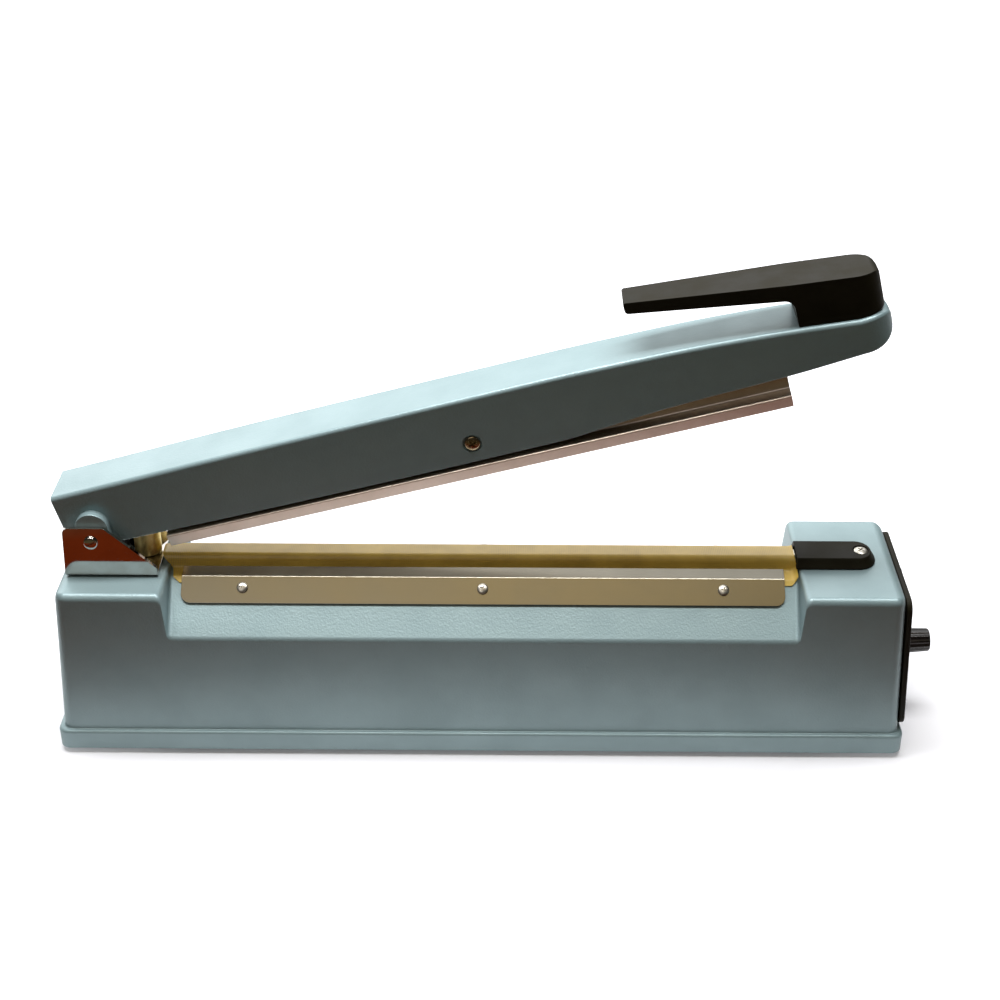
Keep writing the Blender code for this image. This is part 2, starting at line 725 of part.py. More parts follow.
def add_housing_shape(bm, inset=0):
    """The housing's outside, or with an inset the hollow inside it."""
    rings = end_rings(inset, -1)
    rings += step_rings(inset, -1, LEFT_STEP_X - inset)
    rings += reversed(step_rings(inset, 1, RIGHT_STEP_X + inset))
    rings += reversed(end_rings(inset, 1))
    loops = add_skin(bm, rings)
    ledges = len(foot_points(inset, 0)) - 1
    add_end_cap(bm, loops[0], ledges)
    add_end_cap(bm, loops[-1], ledges)


def foot_places():
    """The four feet's centres."""
    return {
        f"{depth}_{side}": (x * (HOUSING_LENGTH / 2 - FOOT_INSET_X), y * (HOUSING_WIDTH / 2 - FOOT_INSET_Y))
        for depth, y in (("front", -1), ("rear", 1))
        for side, x in (("left", -1), ("right", 1))
    }


def offset_path(path, distance):
    """An open run of (u, v) points moved to the left of its direction, with its corners kept square."""
    points = [Vector(point) for point in path]
    normals = []
    for first, second in zip(points, points[1:]):
        along = (second - first).normalized()
        normals.append(Vector((-along.y, along.x)))
    moved = []
    for index, point in enumerate(points):
        before = normals[max(index - 1, 0)]
        after = normals[min(index, len(normals) - 1)]
        moved.append(point + (before + after) * distance / (1 + before.dot(after)))
    return moved


def slope_point(run, rise, side=1):
    """A point on the saddle's slope: how far below the shoulder, and how far off its surface."""
    edge, shoulder, _ = saddle_line(0)
    down = (edge - shoulder).normalized()
    place = shoulder + down * run + Vector((-down.y, down.x)) * rise
    return Vector((0, side * place.x, FOOT_HEIGHT + place.y))


def slope_turn(side):
    """The turn about X that stands a screw square to the saddle's slope."""
    seat = slope_point(0, 0, side)
    outward = slope_point(0, SHOULDER_WIDTH, side) - seat
    return math.atan2(-outward.y, outward.z)


def strip_screw_places():
    """Seat and turn of each clamp screw, by name, on the slopes of the saddle."""
    places = {}
    for name, side in (("front", -1), ("rear", 1)):
        seat = slope_point(STRIP_SCREW_DROP, STRIP_LIFT + STRIP_THICKNESS, side)
        for step, where in enumerate(("left", "middle", "right")):
            x = SEAL_CENTRE + (step - 1) * (SEAL_LENGTH / 2 - STRIP_SCREW_INSET)
            places[f"clamp_screw_{name}_{where}"] = (Vector((x, seat.y, seat.z)), (slope_turn(side), 0, 0))
    return places


def cut_strip_screw_holes(piece, parent, below):
    """Cuts the clamp screws' holes through a piece, down to a depth below their seats."""
    bm = bmesh.new()
    for seat, (turn, _, _) in strip_screw_places().values():
        square = Matrix.Rotation(turn, 3, "X")
        outline = circle(STRIP_SCREW_RADIUS + CLEARANCE, SCREW_SIDES)
        rings = [[seat + square @ Vector((u, v, depth)) for u, v in outline] for depth in (-below, OVERRUN)]
        add_loft(bm, rings)
    combine(piece, "DIFFERENCE", add_guide(f"{piece.name}_strip_screw_holes", bm, parent))


def bracket_screw_places():
    """The two screws that hold the hinge bracket on its tower."""
    x = BRACKET_REAR + BRACKET_SCREW_X
    return {
        "bracket_screw_front": (x, -BRACKET_SCREW_Y),
        "bracket_screw_rear": (x, BRACKET_SCREW_Y),
    }


def add_housing(root, end_frame, gland_frame):
    """The cast housing with its bosses, switch rib and holes."""
    bm = bmesh.new()
    add_housing_shape(bm)
    housing = add_piece("base_housing", bm, "hammer_enamel", root, smooth=True)
    bm = bmesh.new()
    add_housing_shape(bm, HOUSING_WALL)
    combine(housing, "DIFFERENCE", add_guide("housing_hollow", bm, root))

    bm = bmesh.new()
    roof = TOWER_TOP - HOUSING_WALL / 2
    for place in foot_places().values():
        add_rod(bm, BOSS_RADIUS, PLATE_TOP + CLEARANCE, roof, along_z, place)
    middle = PIVOT_X + PLUNGER_X
    rib_front = SWITCH_WIDTH / 2 + CLEARANCE
    rib = rectangle(middle - SWITCH_LENGTH / 2, middle + SWITCH_LENGTH / 2, SWITCH_TOP - SWITCH_HEIGHT, roof)
    add_prism(bm, rib, rib_front, rib_front + SWITCH_RIB_THICKNESS, along_y)
    combine(housing, "UNION", add_guide("housing_bosses", bm, root))

    bm = bmesh.new()
    for place in foot_places().values():
        bore = FOOT_SCREW_RADIUS + CLEARANCE
        add_rod(bm, bore, PLATE_TOP - OVERRUN, PLATE_TOP + BOSS_BORE_DEPTH, along_z, place)
    roof_holes = [(BRACKET_SCREW_RADIUS, place) for place in bracket_screw_places().values()]
    roof_holes += [(PLUNGER_RADIUS, (middle, 0)), (COVER_SCREW_RADIUS, (cover_screw_x(), 0))]
    for radius, place in roof_holes:
        add_rod(bm, radius + CLEARANCE, roof - HOUSING_WALL, TOWER_TOP + OVERRUN, along_z, place)
    combine(housing, "DIFFERENCE", add_guide("housing_upright_holes", bm, root))

    cut_strip_screw_holes(housing, root, STRIP_SCREW_LENGTH + HOUSING_WALL)

    bm = bmesh.new()
    inside = -HOUSING_WALL - OVERRUN
    add_rod(bm, BUSH_RADIUS + CLEARANCE, inside, OVERRUN, along_x, (0, KNOB_LIFT))
    add_rod(bm, LAMP_RADIUS + CLEARANCE, inside, OVERRUN, along_x, (0, LAMP_LIFT))
    for lift in panel_screw_lifts().values():
        add_rod(bm, PANEL_SCREW_RADIUS + CLEARANCE, inside, OVERRUN, along_x, (0, lift))
    combine(housing, "DIFFERENCE", add_guide("housing_end_holes", bm, end_frame))

    bm = bmesh.new()
    add_rod(bm, GLAND_RADIUS + CLEARANCE, inside, OVERRUN, along_z, sides=ROUND_SIDES)
    combine(housing, "DIFFERENCE", add_guide("housing_gland_hole", bm, gland_frame))


# Bottom plate and feet


def add_bottom_plate(root):
    """The steel plate that closes the housing, with pillars for the circuit board."""
    half_width = wall_half_width(PLATE_RECESS + PLATE_THICKNESS, HOUSING_WALL) - CLEARANCE
    half_length = half_width + (HOUSING_LENGTH - HOUSING_WIDTH) / 2
    outline = rectangle(-half_length, half_length, -half_width, half_width, PLATE_CORNER_RADIUS)
    bm = bmesh.new()
    add_prism(bm, outline, PLATE_BOTTOM, PLATE_TOP, along_z)
    plate = add_piece("bottom_plate", bm, "zinc_steel", root)

    bm = bmesh.new()
    pillar_low = PLATE_TOP - PLATE_THICKNESS / 2
    for x in (-1, 1):
        for y in (-1, 1):
            place = (BOARD_X + x * (BOARD_LENGTH / 2 - PILLAR_INSET), y * (BOARD_WIDTH / 2 - PILLAR_INSET))
            add_rod(bm, PILLAR_RADIUS, pillar_low, PLATE_TOP + PILLAR_HEIGHT, along_z, place)
    combine(plate, "UNION", add_guide("plate_pillars", bm, root))

    bm = bmesh.new()
    holes = [(FOOT_SCREW_RADIUS, place) for place in foot_places().values()]
    holes += [(STRAP_SCREW_RADIUS, (x, 0)) for x in strap_screw_places().values()]
    for radius, place in holes:
        add_rod(bm, radius + CLEARANCE, PLATE_BOTTOM - OVERRUN, PLATE_TOP + OVERRUN, along_z, place)
    combine(plate, "DIFFERENCE", add_guide("plate_holes", bm, root))


def add_feet(root):
    """Four rubber feet and the screws that hold them and the plate to the housing."""
    top = PLATE_BOTTOM - CLEARANCE
    bore = FOOT_SCREW_RADIUS + CLEARANCE
    pocket = FOOT_SCREW_HEAD_RADIUS + CLEARANCE
    profile = [
        (FOOT_RADIUS, 0),
        (FOOT_RADIUS - FOOT_TAPER, top),
        (bore, top),
        (bore, FOOT_SEAT_HEIGHT),
        (pocket, FOOT_SEAT_HEIGHT),
        (pocket, 0),
    ]
    for name, (x, y) in foot_places().items():
        bm = bmesh.new()
        add_turned(bm, profile, along_z, hollow=True)
        add_piece(f"rubber_foot_{name}", bm, "rubber", root, (x, y, 0), smooth=True)
        pan_screw(
            f"foot_screw_{name}",
            "zinc_steel",
            root,
            (x, y, FOOT_SEAT_HEIGHT),
            (math.pi, 0, 0),
            FOOT_SCREW_RADIUS,
            FOOT_SCREW_HEAD_RADIUS,
            FOOT_SCREW_HEAD_HEIGHT,
            FOOT_SCREW_LENGTH,
        )


# End panel, timer control and lamp


def panel_screw_lifts():
    """How far up the end wall the panel's two screws sit."""
    return {
        "panel_screw_lower": PANEL_LIFT + PANEL_SCREW_INSET,
        "panel_screw_upper": PANEL_SCREW_HIGH,
    }


def add_end_panel(end_frame):
    """The moulded panel on the end wall and its two screws."""
    foot = wall_half_width(FLANGE_HEIGHT) - PANEL_FOOT_GAP
    shoulder = wall_half_width(FLANGE_HEIGHT + PANEL_TOP) - PANEL_SHOULDER_GAP
    outline = filleted(
        [
            (-foot, PANEL_LIFT, PANEL_CORNER_RADIUS),
            (foot, PANEL_LIFT, PANEL_CORNER_RADIUS),
            (shoulder, PANEL_TOP, PANEL_CORNER_RADIUS),
            (-shoulder, PANEL_TOP, PANEL_CORNER_RADIUS),
        ]
    )
    bm = bmesh.new()
    add_prism(bm, outline, CLEARANCE, PANEL_FACE, along_x)
    panel = add_piece("end_panel", bm, "black_plastic", end_frame)
    bm = bmesh.new()
    add_rod(bm, BUSH_RADIUS + CLEARANCE, -OVERRUN, PANEL_FACE + OVERRUN, along_x, (0, KNOB_LIFT))
    add_rod(bm, LAMP_RADIUS + CLEARANCE, -OVERRUN, PANEL_FACE + OVERRUN, along_x, (0, LAMP_LIFT))
    for lift in panel_screw_lifts().values():
        add_rod(bm, PANEL_SCREW_RADIUS + CLEARANCE, -OVERRUN, PANEL_FACE + OVERRUN, along_x, (0, lift))
    combine(panel, "DIFFERENCE", add_guide("panel_holes", bm, end_frame))
    for name, lift in panel_screw_lifts().items():
        pan_screw(
            name,
            "zinc_steel",
            end_frame,
            (PANEL_FACE, 0, lift),
            (0, math.pi / 2, 0),
            PANEL_SCREW_RADIUS,
            PANEL_SCREW_HEAD_RADIUS,
            PANEL_SCREW_HEAD_HEIGHT,
            PANEL_SCREW_LENGTH,
        )


def add_pilot_lamp(end_frame):
    """The neon lamp behind its low red lens."""
    low = PANEL_FACE + CLEARANCE
    profile = [
        (0, -LAMP_DEPTH),
        (LAMP_RADIUS, -LAMP_DEPTH),
        (LAMP_RADIUS, low),
        (LAMP_BEZEL_RADIUS, low),
        (LAMP_BEZEL_RADIUS, low + LAMP_BEZEL_HEIGHT / 2),
        (LAMP_RADIUS, low + LAMP_BEZEL_HEIGHT),
        (0, low + LAMP_BEZEL_HEIGHT),
    ]
    bm = bmesh.new()
    add_turned(bm, profile, along_x)
    add_piece("pilot_lamp", bm, "red_lens", end_frame, (0, 0, LAMP_LIFT), smooth=True)


def add_timer_control(end_frame, knob_frame):
    """The timer's potentiometer, its nut, and the shaft and knob that turn."""
    back = -HOUSING_WALL - CLEARANCE - POT_DEPTH
    front = PANEL_FACE + CLEARANCE + BUSH_NUT_THICKNESS
    bore = SHAFT_RADIUS + CLEARANCE
    profile = [
        (0, back),
        (POT_RADIUS, back),
        (POT_RADIUS, -HOUSING_WALL - CLEARANCE),
        (BUSH_RADIUS, -HOUSING_WALL - CLEARANCE),
        (BUSH_RADIUS, front),
        (bore, front),
        (bore, back + POT_BACK),
        (0, back + POT_BACK),
    ]
    bm = bmesh.new()
    add_turned(bm, profile, along_x)
    add_piece("timer_potentiometer", bm, "zinc_steel", end_frame, (0, 0, KNOB_LIFT), smooth=True)

    nut_bore = (BUSH_RADIUS + CLEARANCE) / math.cos(math.pi / HEX_SIDES)
    low = PANEL_FACE + CLEARANCE
    profile = [(BUSH_NUT_RADIUS, low), (BUSH_NUT_RADIUS, front), (nut_bore, front), (nut_bore, low)]
    bm = bmesh.new()
    add_turned(bm, profile, along_x, HEX_SIDES, hollow=True)
    add_piece("potentiometer_nut", bm, "brass", end_frame, (0, 0, KNOB_LIFT))

    tip = KNOB_START + KNOB_LENGTH
    bottom = tip - KNOB_TIP_WALL
    bm = bmesh.new()
    add_rod(bm, SHAFT_RADIUS, back + POT_BACK + CLEARANCE, bottom - CLEARANCE, along_x, sides=ROUND_SIDES)
    add_piece("timer_shaft", bm, "aluminium", knob_frame, smooth=True)

    # The grip's ribs stand out between narrow flutes
    rings = []
    for radius, depth in (
        (0, KNOB_START),
        (KNOB_RADIUS, KNOB_START),
        (KNOB_TIP_RADIUS, tip - KNOB_CHAMFER),
        (KNOB_TIP_RADIUS - KNOB_CHAMFER, tip),
        (0, tip),
    ):
        ring = []
        for index, (u, v) in enumerate(circle(1, 2 * KNOB_RIBS)):
            reach = max(0, radius - KNOB_RIB_DEPTH * (index % 2))
            ring.append(along_x(u * reach, v * reach, depth))
        rings.append(ring)
    bm = bmesh.new()
    add_skin(bm, rings)
    knob = add_piece("timer_knob", bm, "black_plastic", knob_frame)
    skirt = BUSH_NUT_RADIUS + CLEARANCE
    inner = SHAFT_RADIUS + CLEARANCE
    mouth = KNOB_START - OVERRUN
    neck = KNOB_START + KNOB_SKIRT_DEPTH
    bm = bmesh.new()
    profile = [(0, mouth), (skirt, mouth), (skirt, neck), (inner, neck), (inner, bottom), (0, bottom)]
    add_turned(bm, profile, along_x)
    combine(knob, "DIFFERENCE", add_guide("knob_hollow", bm, knob_frame))


def add_cord_gland(gland_frame):
    """The empty gland where the mains lead enters the rear wall."""
    profile = [
        (GLAND_COLLAR_RADIUS, CLEARANCE),
        (GLAND_COLLAR_RADIUS, CLEARANCE + GLAND_COLLAR_HEIGHT),
        (GLAND_BORE_RADIUS, CLEARANCE + GLAND_COLLAR_HEIGHT),
        (GLAND_BORE_RADIUS, -GLAND_DEPTH),
        (GLAND_RADIUS, -GLAND_DEPTH),
        (GLAND_RADIUS, CLEARANCE),
    ]
    bm = bmesh.new()
    add_turned(bm, profile, along_z, hollow=True)
    add_piece("cord_gland", bm, "black_plastic", gland_frame, smooth=True)


# Electrics on the bottom plate


def strap_screw_places():
    """How far along the plate the transformer's two screws sit."""
    reach = CORE_LENGTH / 2 + CLEARANCE + STRAP_THICKNESS + STRAP_FOOT_LENGTH / 2
    return {
        "transformer_screw_left": TRANSFORMER_X - reach,
        "transformer_screw_right": TRANSFORMER_X + reach,
    }


def add_transformer(root):
    """The laminated core, its winding and the strap that holds it to the plate."""
    low = PLATE_TOP + CLEARANCE
    top = low + CORE_HEIGHT
    window = (CORE_LENGTH - 2 * CORE_YOKE - CORE_LIMB) / 2
    half_limb = CORE_LIMB / 2
    outline = rectangle(TRANSFORMER_X - CORE_LENGTH / 2, TRANSFORMER_X + CORE_LENGTH / 2, low, top)
    bm = bmesh.new()
    add_prism(bm, outline, -CORE_DEPTH / 2, CORE_DEPTH / 2, along_y)
    core = add_piece("transformer_core", bm, "laminated_steel", root)
    bm = bmesh.new()
    for side in (-1, 1):
        near = TRANSFORMER_X + side * half_limb
        far = near + side * window
        hole = rectangle(min(near, far), max(near, far), low + CORE_YOKE, top - CORE_YOKE)
        add_prism(bm, hole, -CORE_DEPTH / 2 - OVERRUN, CORE_DEPTH / 2 + OVERRUN, along_y)
    combine(core, "DIFFERENCE", add_guide("core_windows", bm, root))

    inner_x = half_limb + CLEARANCE
    inner_y = CORE_DEPTH / 2 + CLEARANCE
    outer_x = half_limb + window - CLEARANCE
    outer_y = inner_y + WINDING_BUILD
    rings = []
    for half_x, half_y, height in (
        (outer_x, outer_y, low + CORE_YOKE + CLEARANCE),
        (outer_x, outer_y, top - CORE_YOKE - CLEARANCE),
        (inner_x, inner_y, top - CORE_YOKE - CLEARANCE),
        (inner_x, inner_y, low + CORE_YOKE + CLEARANCE),
    ):
        corners = rectangle(TRANSFORMER_X - half_x, TRANSFORMER_X + half_x, -half_y, half_y)
        rings.append([along_z(x, y, height) for x, y in corners])
    bm = bmesh.new()
    add_skin(bm, rings, wrap=True)
    add_piece("transformer_winding", bm, "copper", root)

    inner = CORE_LENGTH / 2 + CLEARANCE
    outer = inner + STRAP_THICKNESS
    end = outer + STRAP_FOOT_LENGTH
    ceiling = top + CLEARANCE
    foot_top = low + STRAP_THICKNESS
    right = [(end, low), (end, foot_top), (outer, foot_top), (outer, ceiling + STRAP_THICKNESS)]
    inside = [(-inner, low), (-inner, ceiling), (inner, ceiling), (inner, low)]
    left = [(-x, z) for x, z in reversed(right)]
    outline = [(TRANSFORMER_X + x, z) for x, z in right + left + inside]
    bm = bmesh.new()
    add_prism(bm, outline, -STRAP_WIDTH / 2, STRAP_WIDTH / 2, along_y)
    strap = add_piece("transformer_strap", bm, "zinc_steel", root)
    bm = bmesh.new()
    for x in strap_screw_places().values():
        hole = STRAP_SCREW_RADIUS + CLEARANCE
        add_rod(bm, hole, low - OVERRUN, low + STRAP_THICKNESS + OVERRUN, along_z, (x, 0))
    combine(strap, "DIFFERENCE", add_guide("strap_holes", bm, root))
    for name, x in strap_screw_places().items():
        pan_screw(
            name,
            "zinc_steel",
            root,
            (x, 0, low + STRAP_THICKNESS),
            (0, 0, 0),
            STRAP_SCREW_RADIUS,
            STRAP_SCREW_HEAD_RADIUS,
            STRAP_SCREW_HEAD_HEIGHT,
            STRAP_THICKNESS + CLEARANCE + PLATE_THICKNESS,
        )


def add_circuit_board(root):
    """The timer board on the plate's pillars, with its relay and timing capacitor."""
    left = BOARD_X - BOARD_LENGTH / 2
    outline = rectangle(left, left + BOARD_LENGTH, -BOARD_WIDTH / 2, BOARD_WIDTH / 2)
    bm = bmesh.new()
    add_prism(bm, outline, BOARD_BOTTOM, BOARD_TOP, along_z)
    add_piece("circuit_board", bm, "circuit_green", root)
    seat = BOARD_TOP + CLEARANCE
    outline = rectangle(left + PILLAR_INSET, left + PILLAR_INSET + RELAY_LENGTH, 0, RELAY_WIDTH)
    bm = bmesh.new()
    add_prism(bm, outline, seat, seat + RELAY_HEIGHT, along_z)
    add_piece("relay", bm, "grey_plastic", root)
    place_x = left + PILLAR_INSET + RELAY_LENGTH + CAPACITOR_GAP + CAPACITOR_RADIUS
    bm = bmesh.new()
    add_rod(bm, CAPACITOR_RADIUS, seat, seat + CAPACITOR_HEIGHT, along_z, sides=ROUND_SIDES)
    add_piece("timing_capacitor", bm, "grey_plastic", root, (place_x, -CAPACITOR_RADIUS, 0), smooth=True)


# Sealing bar, cloth and clamp strips


def add_sealing_bar(root):
    """The heat bar with its tape and ribbon, and the terminals at the ribbon's ends."""
    bar = rectangle(-BAR_WIDTH / 2, BAR_WIDTH / 2, BAR_BOTTOM, BAR_TOP, BAR_FILLET)
    bm = bmesh.new()
    add_prism(bm, bar, SEAL_LEFT, SEAL_RIGHT, along_x)
    add_piece("heat_bar", bm, "aluminium", root)
    tape = rectangle(-TAPE_WIDTH / 2, TAPE_WIDTH / 2, TAPE_BOTTOM, TAPE_BOTTOM + TAPE_THICKNESS)
    bm = bmesh.new()
    add_prism(bm, tape, SEAL_LEFT, SEAL_RIGHT, along_x)
    add_piece("insulation_strip", bm, "glass_tape", root)

    right_terminal = RIGHT_STEP_X + RIGHT_TERMINAL_GAP
    left_terminal = SEAL_LEFT - CLEARANCE - LEFT_TERMINAL_LENGTH
    ribbon_top = RIBBON_BOTTOM + RIBBON_THICKNESS
    ribbon = rectangle(-RIBBON_WIDTH / 2, RIBBON_WIDTH / 2, RIBBON_BOTTOM, ribbon_top)
    bm = bmesh.new()
    add_prism(bm, ribbon, left_terminal, right_terminal + RIGHT_TERMINAL_LENGTH, along_x)
    add_piece("heating_element", bm, "stainless", root)
    for name, start, length, low in (
        ("element_terminal_left", left_terminal, LEFT_TERMINAL_LENGTH, BAR_BOTTOM),
        ("element_terminal_right", right_terminal, RIGHT_TERMINAL_LENGTH, TOWER_TOP + CLEARANCE),
    ):
        block = rectangle(-TERMINAL_WIDTH / 2, TERMINAL_WIDTH / 2, low, RIBBON_BOTTOM - CLEARANCE)
        bm = bmesh.new()
        add_prism(bm, block, start, start + length, along_x)
        add_piece(name, bm, "brass", root)


def over_shoulder(run, reach, rise):
    """(y, z) down the slope, at the shoulder and up to a reach toward the middle, lifted off the housing."""
    _, shoulder, crest = saddle_line(0)
    low = slope_point(run, 0)
    high = shoulder + (crest - shoulder).normalized() * reach
    lift = Vector((0, FOOT_HEIGHT))
    return offset_path([(low.y, low.z), shoulder + lift, high + lift], -rise)


def add_cloth(root):
    """The non-stick cloth: a tent over the bar whose flaps lie under the clamp strips."""
    _, shoulder, crest = saddle_line(0)
    flap = over_shoulder(CLOTH_FLAP, (crest - shoulder).length, CLEARANCE)
    half = [(point.x, point.y, 0) for point in flap]
    under = -CLOTH_THICKNESS
    half.append((CLOTH_TOP_WIDTH / 2 + under, CLOTH_TOP + under, CLOTH_FILLET + under))
    inner = half + [(-y, z, radius) for y, z, radius in reversed(half)]
    outside = offset_path([(y, z) for y, z, _ in inner], -CLOTH_THICKNESS)
    outer = [(point.x, point.y, CLOTH_FILLET if corner[2] else 0) for point, corner in zip(outside, inner)]
    left = SEAL_LEFT - CLOTH_LEFT_REACH
    right = SEAL_RIGHT + CLOTH_RIGHT_REACH
    bm = bmesh.new()
    add_prism(bm, filleted(inner + outer[::-1]), left, right, along_x)
    add_piece("ptfe_cloth", bm, "ptfe_cloth", root, smooth=True)


def add_clamp_strip(root, name, side):
    """A bent stainless strip over one shoulder of the saddle."""
    low, bend, high = over_shoulder(STRIP_LOWER_WIDTH, STRIP_UPPER_WIDTH, STRIP_LIFT)
    down = (low - bend).normalized()
    leg = filleted(
        [
            (SEAL_LEFT, 0, 0),
            (SEAL_RIGHT, 0, 0),
            (SEAL_RIGHT, STRIP_LOWER_WIDTH, STRIP_CORNER_RADIUS),
            (SEAL_LEFT, STRIP_LOWER_WIDTH, STRIP_CORNER_RADIUS),
        ]
    )
    bm = bmesh.new()
    lower = [bm.verts.new((x, side * (bend.x + down.x * run), bend.y + down.y * run)) for x, run in leg]
    upper = [bm.verts.new((x, side * high.x, high.y)) for x in (SEAL_RIGHT, SEAL_LEFT)]
    faces = [bm.faces.new(lower), bm.faces.new((lower[1], lower[0], *reversed(upper)))]
    bmesh.ops.recalc_face_normals(bm, faces=faces)
    bm.normal_update()
    if faces[0].normal.z < 0:
        bmesh.ops.reverse_faces(bm, faces=faces)
    bmesh.ops.solidify(bm, geom=faces, thickness=-STRIP_THICKNESS)
    return add_piece(name, bm, "stainless", root)


def add_clamp_strips(root):
    """Both strips and the six screws that hold them."""
    for name, side in (("front", -1), ("rear", 1)):
        strip = add_clamp_strip(root, f"clamp_strip_{name}", side)
        cut_strip_screw_holes(strip, root, STRIP_LIFT + STRIP_THICKNESS)
    for name, (seat, turn) in strip_screw_places().items():
        pan_screw(
            name,
            "zinc_steel",
            root,
            seat,
            turn,
            STRIP_SCREW_RADIUS,
            STRIP_SCREW_HEAD_RADIUS,
            STRIP_SCREW_HEAD_HEIGHT,
            STRIP_SCREW_LENGTH,
        )


# Terminal cover


def cover_left():
    """Where the terminal cover starts on the right tower."""
    return RIGHT_STEP_X + COVER_GAP


def cover_screw_x():
    """Where the terminal cover's screw stands."""
    return cover_left() + COVER_LENGTH - COVER_SCREW_INSET


def add_terminal_cover(root):
    """The moulded cover, square at the bar and round at the screw."""
    left = cover_left()
    right = left + COVER_LENGTH
    low = TOWER_TOP + CLEARANCE
    inset = (COVER_WIDTH - COVER_TOP_WIDTH) / 2
    rings = []
    for shrink, height in ((0, low), (0, low + COVER_ROOF), (inset, low + COVER_HEIGHT)):
        half = COVER_WIDTH / 2 - shrink
        end = right - shrink
        corners = [(left, -half, 0), (end, -half, half), (end, half, half), (left, half, 0)]
        rings.append([along_z(x, y, height) for x, y in filleted(corners, 2 * ARC_STEPS)])
    bm = bmesh.new()
    add_loft(bm, rings)
    cover = add_piece("terminal_cover", bm, "black_plastic", root)

    cavity_end = left + COVER_CAVITY_LENGTH
    half = COVER_CAVITY_WIDTH / 2
    cavity = rectangle(left - OVERRUN, cavity_end, -half, half)
    bm = bmesh.new()
    add_prism(bm, cavity, low - OVERRUN, low + COVER_HEIGHT - COVER_ROOF, along_z)
    combine(cover, "DIFFERENCE", add_guide("cover_cavity", bm, root))

    seat = low + COVER_HEIGHT - COVER_SCREW_SINK
    pocket = COVER_SCREW_HEAD_RADIUS + CLEARANCE
    bore = COVER_SCREW_RADIUS + CLEARANCE
    top = low + COVER_HEIGHT + OVERRUN
    below = low - OVERRUN
    profile = [(0, below), (bore, below), (bore, seat), (pocket, seat), (pocket, top), (0, top)]
    bm = bmesh.new()
    add_turned(bm, profile, along_z, centre=(cover_screw_x(), 0))
    combine(cover, "DIFFERENCE", add_guide("cover_screw_hole", bm, root))
    pan_screw(
        "terminal_cover_screw",
        "zinc_steel",
        root,
        (cover_screw_x(), 0, seat),
        (0, 0, 0),
        COVER_SCREW_RADIUS,
        COVER_SCREW_HEAD_RADIUS,
        COVER_SCREW_HEAD_HEIGHT,
        COVER_SCREW_LENGTH,
    )


# Hinge


def add_hinge_bracket(root):
    """The U of sheet whose two ears carry the hinge pin."""
    half = BRACKET_WIDTH / 2
    inner = half - BRACKET_SHEET
    inner_bend = BRACKET_BEND - BRACKET_SHEET
    top = TOWER_TOP + EAR_HEIGHT
    section = filleted(
        [
            (-half, BRACKET_BOTTOM, BRACKET_BEND),
            (half, BRACKET_BOTTOM, BRACKET_BEND),
            (half, top, 0),
            (inner, top, 0),
            (inner, BRACKET_TOP, inner_bend),
            (-inner, BRACKET_TOP, inner_bend),
            (-inner, top, 0),
            (-half, top, 0),
        ]
    )
    front = BRACKET_REAR + BRACKET_LENGTH
    bm = bmesh.new()
    add_prism(bm, section, BRACKET_REAR, front, along_x)
    bracket = add_piece("hinge_bracket", bm, "chrome", root, smooth=True)

    # The waste that leaves the ears' sloping outline
    shoulder_x = BRACKET_REAR + EAR_TOP_LENGTH
    nose_z = TOWER_TOP + EAR_FRONT_HEIGHT
    fall = (top - nose_z) / (front - shoulder_x)
    waste = [
        (shoulder_x - OVERRUN, top + fall * OVERRUN),
        (front + OVERRUN, nose_z - fall * OVERRUN),
        (front + OVERRUN, top + fall * OVERRUN),
    ]
    bm = bmesh.new()
    add_prism(bm, waste, -BRACKET_WIDTH, BRACKET_WIDTH, along_y)
    combine(bracket, "DIFFERENCE", add_guide("ear_slope_waste", bm, root))

    corner = Vector((BRACKET_REAR, top))
    foot = Vector((BRACKET_REAR, BRACKET_BOTTOM))
    shoulder = Vector((shoulder_x, top))
    arc = corner_arc(foot, corner, shoulder, EAR_FILLET, ARC_STEPS)
    waste = arc + [Vector((arc[-1].x, top + OVERRUN)), Vector((BRACKET_REAR - OVERRUN, top + OVERRUN))]
    waste.append(Vector((BRACKET_REAR - OVERRUN, arc[0].y)))
    bm = bmesh.new()
    add_prism(bm, waste, -BRACKET_WIDTH, BRACKET_WIDTH, along_y)
    combine(bracket, "DIFFERENCE", add_guide("ear_corner_waste", bm, root))

    bm = bmesh.new()
    pivot = (PIVOT_X, PIVOT_Z)
    add_rod(bm, PIN_RADIUS + CLEARANCE, -BRACKET_WIDTH, BRACKET_WIDTH, along_y, pivot, ROUND_SIDES)
    for place in bracket_screw_places().values():
        hole = BRACKET_SCREW_RADIUS + CLEARANCE
        add_rod(bm, hole, BRACKET_BOTTOM - OVERRUN, BRACKET_TOP + OVERRUN, along_z, place)
    plunger = (PIVOT_X + PLUNGER_X, 0)
    add_rod(bm, PLUNGER_RADIUS + CLEARANCE, BRACKET_BOTTOM - OVERRUN, BRACKET_TOP + OVERRUN, along_z, plunger)
    combine(bracket, "DIFFERENCE", add_guide("bracket_holes", bm, root))
    for name, (x, y) in bracket_screw_places().items():
        pan_screw(
            name,
            "zinc_steel",
            root,
            (x, y, BRACKET_TOP),
            (0, 0, 0),
            BRACKET_SCREW_RADIUS,
            BRACKET_SCREW_HEAD_RADIUS,
            BRACKET_SCREW_HEAD_HEIGHT,
            BRACKET_SCREW_LENGTH,
        )


